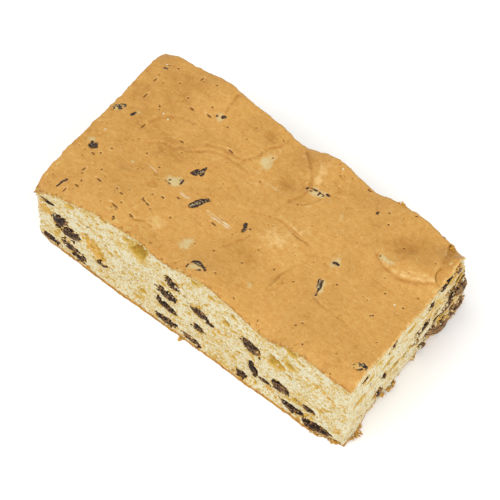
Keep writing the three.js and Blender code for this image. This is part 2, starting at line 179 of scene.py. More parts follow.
# Sultana skin that breaks through the film: width, how grey, points.
DARK_STROKES = (
    (3.4, 0.0, ((-83.2, -15.4), (-82.0, -14.6))),
    (1.4, 0.5, ((-84.6, -14.0), (-83.4, -15.2))),
    (2.2, 0.45, ((-35.6, 2.6), (-34.8, 3.9), (-34.2, 5.6))),
    (1.0, 0.0, ((-37.6, 1.2), (-37.1, 3.3), (-35.9, 5.2))),
    (1.5, 0.0, ((-36.8, 1.7), (-36.2, 2.3))),
    (0.8, 0.0, ((-36.6, 1.4), (-34.4, 2.1))),
    (1.3, 0.1, ((-33.7, 7.8), (-33.6, 5.6), (-32.9, 4.1))),
    (1.1, 0.0, ((-33.5, 3.1), (-32.8, 3.9))),
    (0.8, 0.2, ((-34.9, 6.2), (-34.0, 7.4))),
    (0.9, 0.0, ((-44.2, -9.3), (-41.1, -9.8))),
    (0.7, 0.5, ((-42.4, -8.3), (-42.2, -8.0))),
    (0.75, 0.1, ((-37.2, -6.7), (-37.5, -3.9))),
    (0.8, 0.9, ((-38.8, -5.2), (-38.2, -4.7))),
    (2.1, 0.45, ((-26.4, -12.6), (-24.7, -10.4), (-23.6, -8.0), (-21.8, -5.0))),
    (0.9, 0.0, ((-27.2, -12.9), (-26.2, -10.3), (-24.4, -7.0), (-21.2, -3.9))),
    (1.2, 0.0, ((-26.3, -13.1), (-25.7, -12.8))),
    (1.1, 0.0, ((-25.0, -12.2), (-24.4, -11.7))),
    (0.8, 0.2, ((-23.8, -11.0), (-23.2, -9.5), (-22.6, -7.4))),
    (2.0, 0.0, ((0.2, -7.8), (-0.2, -5.4), (-0.6, -4.2))),
    (1.0, 0.7, ((0.8, -7.0), (0.6, -5.6))),
    (1.0, 0.0, ((2.4, -5.1), (2.6, -5.1))),
    (0.9, 0.2, ((-81.8, -42.0), (-81.0, -39.6))),
    (0.9, 0.2, ((-80.6, -38.6), (-79.9, -37.4))),
    (1.3, 0.3, ((-79.9, 9.7), (-79.2, 11.2))),
    (1.3, 0.2, ((-44.2, 33.0), (-43.4, 33.7))),
    (1.0, 0.4, ((-46.9, 31.9), (-46.4, 32.1))),
    (0.9, 0.2, ((-84.4, 39.0), (-83.0, 39.6))),
    (1.1, 0.0, ((-6.4, -36.9), (-4.8, -35.1), (-1.8, -35.3), (2.1, -37.4))),
    (1.6, 0.6, ((-4.6, -36.0), (-2.0, -36.2))),
    (0.8, 0.2, ((-6.6, -40.1), (-6.8, -38.4))),
    (0.8, 0.2, ((-1.0, -39.4), (0.4, -38.7))),
    (1.5, 0.6, ((43.9, -6.4), (45.4, -10.0))),
    (0.9, 0.0, ((45.0, -6.0), (46.2, -9.4), (46.6, -11.6), (47.4, -13.8))),
    (1.4, 0.1, ((43.3, 4.9), (45.5, 5.1))),
    (0.8, 0.3, ((9.1, 28.7), (9.5, 29.3))),
    (0.7, 0.0, ((10.8, 29.9), (12.0, 29.8), (13.9, 30.1))),
    (0.9, 0.0, ((13.4, 29.8), (13.9, 30.0))),
    (0.9, 0.1, ((11.4, 28.4), (11.9, 28.7))),
    (0.8, 0.0, ((15.0, 30.1), (15.8, 29.9), (16.9, 30.0), (18.2, 29.8))),
    (0.6, 0.1, ((15.9, 29.8), (15.8, 28.7))),
    (0.6, 0.5, ((18.2, 29.8), (17.7, 29.0))),
    (1.0, 0.1, ((19.2, 31.1), (20.2, 31.3))),
    (1.1, 0.0, ((42.8, 37.8), (42.7, 38.4))),
    (0.6, 0.5, ((57.6, 20.2), (58.0, 20.2))),
    (0.6, 0.3, ((63.2, 19.7), (63.7, 19.6))),
)
# Clusters of dark specks: x, y, length, width, turn, share that is dark.
SPECKLES = (
    (-87.6, 9.8, 8.5, 4.4, 52, 0.6), (85.8, -31.3, 8.0, 5.4, 30, 0.52),
    (-52, -38.5, 6, 2.6, 30, 0.3), (-49.2, -40.6, 3, 1.8, 20, 0.35),
)
# Pores with a length: x, y, length. Those of the first list run along y, of the second along x.
PORES_ALONG_Y = (
    (-83.6, 31.3, 2.2), (-81.7, 21.7, 3.0), (-71.4, 7.7, 3.0), (-77.3, -28.3, 2.4),
    (-77.3, -42.1, 2.4), (-64.9, 43.5, 2.0), (-48.2, -41.5, 1.6),
)
PORES_ALONG_X = (
    (-58.9, 28.5, 2.6), (-49.8, 30.0, 2.8), (-51.6, 12.0, 2.2), (-67.1, -29.1, 3.0),
    (-73.7, -37.4, 2.4), (-44.2, -24.7, 2.4), (-41.7, -25.1, 2.2), (-43.0, -35.1, 2.4),
    (-51.8, -36.2, 4.0), (-79.7, -18.6, 2.2), (-12.2, -13.4, 2.8), (-33.2, -13.2, 1.8),
    (-30.0, 21.5, 3.0), (-38.8, -17.6, 1.8), (-54.0, -28.8, 1.8),
)
# Round pores and white specks: x, y.
PORE_DOTS = (
    (-78.5, 42.7), (-51.1, 34.1), (-64.2, 32.2), (-72.1, 20.8), (-77.2, -16.2), (-74.8, -11.0),
    (-60.3, -2.9), (-73.7, -34.1), (-57.4, -27.8), (-50.7, -32.8), (-29.5, -23.4), (-70.4, -23.4),
    (-2.9, -24.9), (-50.8, -5.5), (31.1, 47.0), (47.4, 41.0), (50.9, 35.7), (63.8, 30.5),
    (24.1, -14.8), (11.0, -21.6), (52.0, -29.7), (50.2, -32.3), (59.1, -38.9), (81.6, 6.3),
    (73.6, -5.7), (72.8, -6.6), (70.9, 6.9), (51.3, -3.4), (6.8, -35.6),
)
WHITE_SPECKS = (
    (17.0, 45.6), (77.8, 4.9), (-64.5, 17.5), (-84.5, 41.3), (-84.2, -4.5), (-68.1, 18.7),
)
# Pale scratches: width, points.
SCRATCHES = (
    (0.7, ((-18.4, -9.9), (-5.2, -9.7))),
    (0.7, ((-18.2, -11.1), (-5.0, -11.0))),
    (0.5, ((-5.2, -9.7), (-4.6, -10.4), (-5.0, -11.0))),
    (1.8, ((-33.8, -10.2), (-31.4, -10.4), (-29.4, -10.3))),
    (0.6, ((-55.1, -7.4), (-49.6, -8.5))),
    (0.5, ((-4.7, 19.9), (0.9, 19.9))),
)
# Small burst bubbles with a brown rim: x, y, radius.
CRATERS = ((-49.5, -9.6, 0.9), (-46.8, -15.1, 1.8))

# Sultanas that show at the cuts: along the face, up it, length, thickness, turn, how proud.
FRONT_SULTANAS = (
    (-84, 36, 9, 2.0, -4, 0.2), (-77, 25.4, 9, 10, -20, 0.3), (-70.6, 19.6, 9, 10, -50, 0.4),
    (-71.5, 9.0, 9, 8.0, -20, 0.4), (-83, 4.6, 12, 3.6, -6, 0.4), (-65.6, 5.6, 7, 6.4, 10, 0.6),
    (-52.5, 12.2, 7, 2.8, 8, 0.2), (-14, 24, 12, 6.4, -14, 0.5), (-11, 35, 9, 6.5, -30, 0.1),
    (-13.6, 14.5, 12.5, 4.2, -14, 0.4), (-13, 3.8, 12.5, 3.4, 2, 0.3),
    (2.2, 3.0, 12, 2.4, -6, 0.3), (5.6, 28, 11, 4.6, -12, 0.3), (11.5, 25.2, 6, 1.8, -16, 0.2),
    (5, 14.8, 7, 4.6, -10, 0.2), (35, 28.4, 11, 7.2, -28, 0.6), (37, 13, 9, 4.6, -62, 0.2),
    (32, 3.4, 6, 3.4, 0, 0.3), (44.5, 9.8, 8, 2.6, 0, 0.2), (53, 13.4, 10, 6.4, -12, 0.5),
    (69.4, 11.7, 7, 3.6, 6, 0.2), (61.5, 4.4, 14, 2.8, -2, 0.5), (75, 3.2, 15, 3.4, 3, 0.6),
)
RIGHT_SULTANAS = (
    (-35.5, 43.2, 7, 1.4, 0, 0.1), (-13.6, 42.4, 7, 2.4, 24, 0.2), (-22, 13.5, 7, 5, 24, 1.0),
    (-18, 23, 4, 3.4, 0, 0.3), (12, 24, 11, 4.0, 0, 0.4), (19, 12.0, 9, 5.6, -8, 1.2),
    (14, 6.4, 5, 3.2, 0, 0.8), (29, 5.0, 13, 8.4, -8, 2.0), (18, 36, 8, 2.8, 60, 0.4),
    (28.7, 41.8, 10, 4.4, 8, 0.6), (40.5, 6.5, 12, 9.5, -4, 2.3), (43.6, 20.4, 9, 10, 50, 2.3),
    (40.2, 40.6, 5, 5.0, 0, 0.8), (33, 17, 9, 4.4, 8, 0.8), (35, 28.5, 8, 3.2, -6, 0.5),
    (8, 17.5, 4, 2.2, 0, 0.3),
)
HIDDEN_SULTANAS = {"back": 22, "left": 11}  # how many are drawn by the rule
BACK_CORNER_SULTANA = (-75.5, 41.6, 3.6, 2.8, 0, 0.9)  # it shows in the photo's outline
SULTANA_DEPTH = 5.0  # size of a sultana across its cut

# Open bubbles of the crumb: along the face, up it, length, height, depth, tone. The tone is how
# brown the bubble's lining is, and how deep the painted shade on its upper left side.
FRONT_BUBBLES = (
    (-31.0, 41.2, 11.5, 14.5, 3.4, 1.35), (-51.5, 49.2, 4, 3, 1.6, 0.7),
    (-38.6, 45.3, 3.6, 3, 1.2, 0.7), (-70.5, 43.5, 5, 3.5, 0.8, 0.4),
    (-52.9, 5.7, 2.4, 2, 1.2, 0.9), (-49.5, 3.2, 2, 1.6, 1.0, 0.9),
    (-39.7, 16.6, 3, 2.6, 1.2, 0.7), (-28, 13, 6, 4, 0.8, 0.35), (20.5, 34.1, 4.4, 4.4, 2.2, 1.3),
    (23.8, 42.4, 3.8, 3.4, 1.8, 1.3), (26.2, 11.1, 3, 2.6, 1.3, 0.8),
    (28.1, 17.2, 3, 2.4, 1.2, 0.8), (1.7, 48.6, 4.5, 3.6, 1.4, 0.8),
    (49.2, 29.4, 11, 9, 1.8, 1.3), (57.0, 46.4, 7, 5.4, 2.0, 1.1), (56.5, 35.0, 6, 5, 1.0, 0.8),
    (63.1, 43.1, 3, 2.4, 1.2, 0.5), (62.9, 10.9, 6, 4.4, 1.8, 1.3), (-1, 21, 3, 2.4, 0.8, 0.5),
    (-78, 15.5, 2.2, 2.6, 1.2, 0.9),
)
RIGHT_BUBBLES = (
    (-9, 19.4, 9, 4, 2.0, 1.1), (1, 17.9, 11, 4.6, 2.2, 1.1), (-24.5, 46.5, 8, 3.4, 1.4, 0.5),
    (-30, 36, 7, 3.4, 1.4, 0.5), (3, 36, 8, 4, 1.2, 0.5), (-38, 27, 9, 4, 1.4, 0.5),
    (-16, 31, 10, 4, 1.2, 0.4),
)
# Syrup-stained crumb: along the face, up it, length, height, turn, strength.
FRONT_STAINS = (
    (-85.6, 27.4, 11, 9, 0, 1.1), (-61.5, 25, 7, 7, -20, 1.2), (-57, 20.6, 15, 9, -42, 1.6),
    (-52, 16, 5, 4, 0, 0.8), (-74, 18.5, 6, 4, 0, 0.8), (-4.8, 43, 10, 8, 0, 0.4),
    (15.5, 23.5, 13, 5, -20, 0.8), (22, 27, 6, 4, 0, 0.5), (50, 28.5, 10, 5, 0, 0.6),
    (46.2, 6.8, 9, 3.4, -10, 0.8), (72, 35, 12, 5, 0, 0.45), (79, 31.5, 13, 2.6, -28, 0.9),
    (88, 33, 8, 3, 20, 0.6), (86.5, 10, 5, 6, 0, 1.0), (67, 5, 10, 3, 0, 0.6),
    (33, 16, 5, 4, 0, 0.6), (-20, 25.5, 5, 4, 0, 0.5),
)
RIGHT_STAINS = (
    (-2.5, 31.6, 9, 5, 0, 0.6), (18, 28, 14, 6, 0, 0.6), (30, 22, 16, 7, 0, 0.4),
    (42, 30, 10, 8, 0, 0.5), (-28, 25, 10, 4, 0, 0.5), (-38, 12, 10, 6, 0, 0.6),
    (-8, 12, 14, 4, 0, 0.5), (20, 4, 16, 5, 0, 0.8), (-34, 39.5, 16, 4, 0, 0.5),
)
# Fine shreds of sultana skin in the crumb: along the face, up it, length, height, turn.
FRONT_SHREDS = ((-61.5, 36.0, 13, 5, -8),)
# Lumps of the right cut round its sultanas: along, up, length, height, rise.
RIGHT_LUMPS = (
    (30, 6, 16, 9, 1.2), (41, 8, 13, 12, 1.5), (44, 21, 9, 10, 1.6), (38, 36, 12, 6, 0.8),
    (20, 11, 11, 8, 0.9), (-21, 13, 8, 6, 0.7), (32, 17, 10, 5, 0.6),
)
# Torn flakes that stick out of the cuts: cut, along it, run, reach, up, thickness.
FLAKES = (
    ("right", -39, 10, 2.6, 1.2, 1.6), ("right", -10, 6.5, 2.3, 2.8, 1.4),
    ("right", 9, 6, 0.9, 1.4, 1.2), ("right", -16.8, 2.4, 1.7, 4.8, 0.9),
    ("right", 27, 8, 1.2, 0.9, 1.2), ("right", 38, 7, 1.6, 1.2, 1.2),
    ("front", 77, 7, 0.8, 0.7, 1.2), ("front", 85, 6, 1.4, 0.9, 1.4),
    ("front", -3, 2.4, 1.4, 0.5, 0.6), ("back", -51.6, 5, 1.1, 47.2, 0.8),
    ("right", 39, 6, 0.7, 44.0, 0.8), ("back", -80, 6, 0.6, 40.6, 0.9),
    ("right", 45, 4, 1.0, 13.5, 1.0),
)

# ------------------------------------------------------------------ numbers over many points


def lattice(i, j, k, seed):
    """A repeatable value from 0 to 1 for every point of a whole-number lattice."""
    mixed = (i * 73856093) ^ (j * 19349663) ^ (k * 83492791) ^ (seed * 2654435761 & 0x7FFFFFFF)
    mixed = (mixed ^ (mixed >> 13)) * 1274126177
    mixed ^= mixed >> 16
    return (mixed & 0xFFFFFF) / 0xFFFFFF


def noise(points, size, seed):
    """Smooth noise from -1 to 1 over points, an array of x, y, z, with lumps of a size."""
    scaled = points / size + 1000.0
    cell = np.floor(scaled).astype(np.int64)
    share = scaled - cell
    share = share * share * (3 - 2 * share)
    total = np.zeros(points.shape[:-1])
    for corner in range(8):
        step = np.array([corner & 1, corner >> 1 & 1, corner >> 2 & 1])
        weight = np.prod(np.where(step == 1, share, 1 - share), axis=-1)
        spot = cell + step
        total += weight * lattice(spot[..., 0], spot[..., 1], spot[..., 2], seed)
    return 2 * total - 1


def layered_noise(points, size, seed):
    """Noise with two layers of finer and weaker noise on it."""
    strengths = (1, 0.5, 0.25)
    total = np.zeros(points.shape[:-1])
    for layer, strength in enumerate(strengths):
        total += noise(points, np.asarray(size) * strength, seed + layer) * strength
    return total / sum(strengths)


def ridged(points, size, seed):
    """Sharp ridges, from -1 in their troughs to 1 along their crests."""
    return 1 - 4 * np.abs(noise(points, size, seed)).clip(0, 0.5)


def bump(share):
    """A round bump: 1 in the middle and nearly 0 from 2 on."""
    return np.exp(-share * share)


def fade(value, start, end):
    """A smooth step: 1 before start and 0 past end, whichever of the two is the greater."""
    share = np.clip((value - start) / (end - start), 0, 1)
    return 1 - share * share * (3 - 2 * share)


def flat_points(x, y):
    """Points of a plane, as noise takes them."""
    return np.stack((x, y, np.zeros_like(x)), axis=-1)


def scattered_pores(x, y, spacing, radii, share, stretch, seed):
    """Depth of pores scattered over a plane, at most one to each square of a lattice."""
    depth = np.zeros(x.shape)
    column = np.floor(x / spacing).astype(np.int64)
    row = np.floor(y / spacing).astype(np.int64)
    for across in (-1, 0, 1):
        for up in (-1, 0, 1):
            i, j = column + across, row + up
            dx = x - (i + 0.1 + 0.8 * lattice(i, j, 0, seed)) * spacing
            dy = y - (j + 0.1 + 0.8 * lattice(i, j, 1, seed)) * spacing
            radius = radii[0] + (radii[1] - radii[0]) * lattice(i, j, 2, seed) ** 2
            dx = dx + (lattice(i, j, 4, seed) - 0.5) * dy
            inside = radius * fade(np.hypot(dx / stretch, dy) / radius, 0.25, 1.2)
            depth = np.maximum(depth, np.where(lattice(i, j, 3, seed) < share, inside, 0))
    return depth


def drawn(draw, *ranges):
    """A random value from each of some ranges."""
    return [draw.uniform(*ends) for ends in ranges]


def curve_through(points, steps=5):
    """The points of a smooth curve through the given ones."""
    if len(points) < 3:
        return list(points)
    ends = [points[0], *points, points[-1]]
    curve = []
    for before, start, end, after in zip(ends, ends[1:], ends[2:], ends[3:]):
        for step in range(steps):
            t = step / steps
            curve.append(tuple(
                0.5 * (2 * b + (c - a) * t + (2 * a - 5 * b + 4 * c - d) * t**2
                       + (3 * b - a - 3 * c + d) * t**3)
                for a, b, c, d in zip(before, start, end, after)
            ))
    return curve + [points[-1]]


def run_distance(x, y, run):
    """How far points lie from a run of points, and on which side: 1 on its left, -1 right."""
    nearest = np.full(x.shape, 1e9)
    side = np.zeros(x.shape)
    for (x0, y0), (x1, y1) in zip(run, run[1:]):
        dx, dy = x1 - x0, y1 - y0
        share = np.clip(((x - x0) * dx + (y - y0) * dy) / (dx * dx + dy * dy), 0, 1)
        away = np.hypot(x - x0 - share * dx, y - y0 - share * dy)
        side = np.where(away < nearest, np.sign(dx * (y - y0) - dy * (x - x0)), side)
        nearest = np.minimum(nearest, away)
    return nearest, side


def skin_height(x, y):
    """Height of the top skin over places of the plan, without its folds."""
    height = np.full(np.shape(x), SKIN_LEVEL)
    for middle_x, middle_y, rise, reach_x, reach_y in SWELLS:
        height += rise * bump(np.hypot((x - middle_x) / reach_x, (y - middle_y) / reach_y))
    return height


def slab_plan(u, v, w):
    """Plan place for shares across (u and v from -1 to 1) and up (w from 0 to 1) the slab."""
    x = u * HALF_X
    y = v * HALF_Y
    lean_share = np.clip((x + HALF_X) / LEAN_RUN, 0, 1)
    lean = FRONT_LEAN_LEFT + (FRONT_LEAN - FRONT_LEAN_LEFT) * lean_share
    x = x - RIGHT_TAPER * (1 + u) * (1 + v) / 4 - LEFT_LEAN * w * (1 - u) / 2
    y = y + lean * w * (1 - v) / 2
    for corner_x, corner_y, move_x, move_y, reach in CORNER_PULLS:
        pull = bump(np.hypot(x - corner_x, y - corner_y) / reach) * w**2
        x = x + move_x * pull
        y = y + move_y * pull
    return x, y


# ------------------------------------------------------------------ painting and building sheets


EVERYWHERE = (slice(None), slice(None))


class Sheet:
    """Points of a sheet in millimetres, and the layers that are painted over them.

    Slack is how far the columns' lines of points may stray from straight ones.
    """

    def __init__(self, x, y, slack, names=()):
        self.x = x
        self.y = y
        self.slack = slack
        self.points = flat_points(x, y)
        self.layers = {name: np.zeros(x.shape) for name in ("relief", *names)}

    def columns(self, low, high):
        """The part of the sheet whose columns lie between two values of x."""
        row = self.x[self.x.shape[0] // 2]
        first, last = np.searchsorted(row, (low - self.slack, high + self.slack))
        return slice(None), slice(int(first), int(last))

    def oval(self, x, y, length, width, turn=0.0, reach=1.6):
        """The columns near an oval, and each point's distance from its middle: 1 at its rim."""
        around = self.columns(x - reach * length / 2, x + reach * length / 2)
        c, s = math.cos(math.radians(turn)), math.sin(math.radians(turn))
        dx, dy = self.x[around] - x, self.y[around] - y
        return around, np.hypot((dx * c + dy * s) * 2 / length, (dy * c - dx * s) * 2 / width)

    def ovals(self, rows, reach=1.6):
        """For rows of x, y, length, width, turn and more: what oval gives, and what is more."""
        for x, y, length, width, turn, *more in rows:
            yield (*self.oval(x, y, length, width, turn, reach), *more)

    def stroke(self, points, reach):
        """The columns near a curve through points, each point's distance from it and side."""
        run = curve_through(points)
        xs = [p[0] for p in run]
        around = self.columns(min(xs) - reach, max(xs) + reach)
        return around, *run_distance(self.x[around], self.y[around], run)

    def most(self, name, value, around=EVERYWHERE):
        """Raises a layer to a value where it is lower."""
        layer = self.layers[name]
        layer[around] = np.maximum(layer[around], value)

    def add(self, name, value, around=EVERYWHERE):
        """Adds a value to a layer."""
        self.layers[name][around] += value


def grid_of(sheet, places):
    """A bmesh grid whose corners are set to places (rows, columns, 3) in mm, with its layers."""
    rows, columns = sheet.x.shape[0] - 1, sheet.x.shape[1] - 1
    bm = bmesh.new()
    bmesh.ops.create_grid(bm, x_segments=columns, y_segments=rows, size=1.0)
    kept = {name: bm.verts.layers.float.new(name) for name in sheet.layers if name != "relief"}
    values = {name: sheet.layers[name].tolist() for name in kept}
    spots = (places * MM).tolist()
    for vert in bm.verts:
        column = round((vert.co.x + 1) / 2 * columns)
        row = round((vert.co.y + 1) / 2 * rows)
        vert.co = spots[row][column]
        for name, layer in kept.items():
            vert[layer] = values[name][row][column]
    return bm


def rim_of(bm):
    """The open edges of a sheet."""
    return [edge for edge in bm.edges if edge.is_boundary]


def draw_rim(bm, edges, place):
    """Extrudes open edges and moves the new corners by place, a function of their points in mm."""
    made = bmesh.ops.extrude_edge_only(bm, edges=edges)["geom"]
    verts = [item for item in made if isinstance(item, bmesh.types.BMVert)]
    x, y, z = np.array([vert.co[:] for vert in verts]).T / MM
    moved = np.broadcast_arrays(*place(x, y, z))
    for vert, spot in zip(verts, (np.stack(moved, axis=-1) * MM).tolist()):
        vert.co = spot
    return [item for item in made if isinstance(item, bmesh.types.BMEdge) and item.is_boundary]


def cap(bm, edges):
    """Closes a rim with one face."""
    bmesh.ops.contextual_create(bm, geom=edges)


def add_object(name, data):
    """Links a new object to the scene."""
    made = bpy.data.objects.new(name, data)
    bpy.context.scene.collection.objects.link(made)
    return made


def finish_piece(bm, name, material):
    """Turns a bmesh into a named piece that rides on the cake and stands for its node."""
    bmesh.ops.recalc_face_normals(bm, faces=bm.faces[:])
    bmesh.ops.triangulate(bm, faces=[face for face in bm.faces if len(face.verts) > 4])
    for face in bm.faces:
        face.smooth = True
    mesh = bpy.data.meshes.new(name)
    bm.to_mesh(mesh)
    bm.free()
    mesh.materials.append(material)
    piece = add_object(name, mesh)
    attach(piece, BODY)
    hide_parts(NODE)


# ------------------------------------------------------------------ shader writing


class Value:
    """A shader socket that adds Math nodes where it is used in an expression."""

    def __init__(self, shader, socket):
        self.shader = shader
        self.socket = socket

    def _with(self, operation, first, second):
        return self.shader.value("ShaderNodeMath", {"operation": operation}, {0: first, 1: second})

    def __add__(self, other):
        return self._with("ADD", self, other)

    __radd__ = __add__

    def __sub__(self, other):
        return self._with("SUBTRACT", self, other)

    def __rsub__(self, other):
        return self._with("SUBTRACT", other, self)

    def __mul__(self, other):
        return self._with("MULTIPLY", self, other)

    __rmul__ = __mul__


class Shader:
    """A material written as Python: nodes come from one method, and numbers from Value."""

    def __init__(self, name):
        self.material = bpy.data.materials.new(name)
        self.material.use_nodes = True
        self.tree = self.material.node_tree
        self.tree.nodes.clear()
        self.place = self.node("ShaderNodeTexCoord").outputs["Object"]

    def node(self, kind, settings=None, sockets=None):
        """Adds a node of a kind, with its settings first and then its sockets' values or links."""
        node = self.tree.nodes.new(kind)
        for name, setting in (settings or {}).items():
            setattr(node, name, setting)
        for name, value in (sockets or {}).items():
            socket = node.inputs[name]
            if isinstance(value, Value):
                self.tree.links.new(value.socket, socket)
            elif isinstance(value, bpy.types.NodeSocket):
                self.tree.links.new(value, socket)
            elif isinstance(value, tuple) and len(value) == 3 and socket.type == "RGBA":
                socket.default_value = (*value, 1.0)
            else:
                socket.default_value = value
        return node

    def value(self, kind, settings=None, sockets=None, output=0):
        """Adds a node and gives its number for use in expressions."""
        return Value(self, self.node(kind, settings, sockets).outputs[output])

    def painted(self, name):
        """A layer that was painted on the piece's points."""
        return self.value("ShaderNodeAttribute", {"attribute_name": name}, output="Fac")

    def noise(self, size, detail=2.0, rough=0.5, longer=(1.0, 1.0, 1.0)):
        """Noise from 0 to 1 with lumps of a size in mm, made longer along x, y and z."""
        place = self.node("ShaderNodeVectorMath", {"operation": "DIVIDE"}, {
            0: self.place, 1: longer}).outputs[0]
        return self.value("ShaderNodeTexNoise", {"noise_dimensions": "3D"}, {
            "Vector": place, "Scale": 1 / (size * MM), "Detail": detail,
            "Roughness": rough}, output="Fac")

    def cells(self, size):
        """Distance from the nearest of many scattered points, in sizes of their spacing in mm."""
        return self.value("ShaderNodeTexVoronoi", {"feature": "F1"}, {
            "Vector": self.place, "Scale": 1 / (size * MM), "Randomness": 1.0}, output="Distance")

    def dots(self, spacing, radius):
        """Round dots, one to each cell of a spacing in mm: 1 in them and 0 outside."""
        return self.step(self.cells(spacing), 1.4 * radius / spacing, 0.6 * radius / spacing)

    def step(self, value, low, high):
        """Smooth step of a value: 0 at low and 1 at high."""
        settings = {"interpolation_type": "SMOOTHSTEP", "clamp": True}
        return self.value("ShaderNodeMapRange", settings, {
            "Value": value, "From Min": low, "From Max": high, "To Min": 0.0, "To Max": 1.0})

    def mix(self, share, first, second, blend="MIX"):
        """Colour from first to second as share goes from 0 to 1."""
        node = self.node("ShaderNodeMix", {"data_type": "RGBA", "blend_type": blend}, {
            0: share, 6: first, 7: second})
        return node.outputs[2]

    def coats(self, base, *coats):
        """Lays coats over a colour: a value, its low and high, an amount, a colour's name."""
        for value, low, high, amount, name in coats:
            share = self.step(value, low, high)
            base = self.mix(share if amount == 1 else share * amount, base, colour(name))
        return base

    def shaded(self, colour, value):
        """A colour made lighter or darker by a value round 1."""
        grey = self.node("ShaderNodeCombineColor", {"mode": "RGB"}, {0: value, 1: value, 2: value})
        return self.mix(1.0, colour, grey.outputs[0], "MULTIPLY")

    def tinted(self, colour, value):
        """A colour made lighter and paler, or darker and richer, by a value round 1."""
        square = value * value
        scale = self.node("ShaderNodeCombineColor", {"mode": "RGB"}, {
            0: value, 1: square, 2: square * square})
        return self.mix(1.0, colour, scale.outputs[0], "MULTIPLY")

    def surface(self, colour, roughness, height, depth, specular):
        """Ends the material with a Principled surface and a bump of so many mm."""
        bumped = self.node("ShaderNodeBump", {}, {
            "Strength": 1.0, "Distance": depth * MM, "Height": height})
        principled = self.node("ShaderNodeBsdfPrincipled", {}, {
            "Base Color": colour, "Roughness": roughness, "Normal": bumped.outputs[0],
            "Specular IOR Level": specular})
        self.node("ShaderNodeOutputMaterial", {}, {0: principled.outputs[0]})
        return self.material


# ------------------------------------------------------------------ settings


def tint(label, note, default):
    """A colour that a user can change."""
    return bpy.props.FloatVectorProperty(
        name=label, description=note, subtype="COLOR", size=3, min=0.0, max=1.0, default=default)


def size(label, note, default):
    """A length that a user can change."""
    return bpy.props.FloatProperty(
        name=label, description=note, subtype="DISTANCE", unit="LENGTH", min=0.0, default=default)


class CakeSizes(bpy.types.PropertyGroup):
    """Sizes of the slab's layers."""

    skin: size("Skin", "Thickness of the baked skin at the cuts", 0.0006)
    base: size("Base", "Thickness of the brown base at the cuts", 0.0008)
    skin_cell: size("Skin mesh", "Edge of the skin's mesh faces", 0.000435)
    shown_cell: size("Shown crumb mesh", "Edge of the front and right crumb's mesh faces", 0.00030)
    hidden_cell: size("Hidden crumb mesh", "Edge of the back and left crumb's mesh faces", 0.00042)


class CakeColours(bpy.types.PropertyGroup):
    """Colours of the cake, as reflected light in scene-linear values."""

    skin: tint("Skin", "Golden baked skin", (0.518, 0.268, 0.059))
    # skin_deep also serves as painted shade in folds, wrinkles and hollows, and skin_pale as
    # painted highlight on crests, swells and pore rims.
    skin_deep: tint("Deep-baked skin", "Skin in the hollows", (0.381, 0.168, 0.025))
    skin_pale: tint("Pale skin", "Skin stretched over swells", (0.610, 0.369, 0.122))
    film: tint("Film", "Thin skin over a sultana", (0.530, 0.436, 0.210))
    film_pale: tint("Pale film", "Shreds of pale film on a bare sultana", (0.399, 0.315, 0.166))
    pore: tint("Pore", "Inside of the skin's pores", (0.162, 0.068, 0.010))
    raw: tint("Raw patch", "Crumb that looks through the skin", (0.544, 0.357, 0.102))
    crumb: tint("Crumb", "Pale crumb", (0.636, 0.591, 0.418))
    # crumb_deep also serves as painted shade in the crumb's pits, bubble as painted shade in its
    # deepest pits and open bubbles, and base as the darkest painted shade in those bubbles.
    crumb_deep: tint("Crumb in pores", "Lining of the crumb's pores", (0.534, 0.336, 0.053))
    bubble: tint("Bubble", "Olive-brown lining of open bubbles", (0.408, 0.246, 0.034))
    syrup: tint("Syrup", "Crumb stained by sultanas", (0.570, 0.315, 0.047))
    base: tint("Base", "Brown base", (0.372, 0.166, 0.028))
    base_light: tint("Base, light", "Pale parts of the base", (0.540, 0.300, 0.056))
    flake: tint("Flake", "Golden-brown torn flakes", (0.425, 0.191, 0.022))
    sultana: tint("Sultana", "Dark skin of a sultana", (0.011, 0.005, 0.003))
    # sultana_ridge also serves as painted highlight on the sultanas' wrinkle ridges.
    sultana_ridge: tint("Sultana ridge", "Tan wrinkles of a sultana", (0.300, 0.165, 0.066))
    sultana_brown: tint("Sultana flesh", "Brown flesh of a sultana", (0.089, 0.043, 0.019))


def sizes():
    """The sizes as a user left them."""
    return bpy.context.scene.cake_sizes


def colour(name):
    """A colour as a user left it."""
    return tuple(getattr(bpy.context.scene.cake_colours, name))


# ------------------------------------------------------------------ materials


SKIN_LAYERS = ("bake_and_shading", "film", "dark", "grey", "pore", "pale", "raw")
CRUMB_LAYERS = ("pit_shade", "bubble", "syrup", "toast", "dark")
SULTANA_LAYERS = ("ridge_sheen_and_brown", "stuck")


def sultana_tones(m, streak):
    """Colour of a sultana from a streak value round 0 to 1: dark skin, brown flesh, tan ridges. On
    the sultanas themselves the tan ridges are painted highlights on the wrinkles.
    """
    return m.coats(
        colour("sultana"),
        (streak, 0.40, 0.62, 1, "sultana_brown"),
        (streak, 0.66, 0.84, 1, "sultana_ridge"),
    )


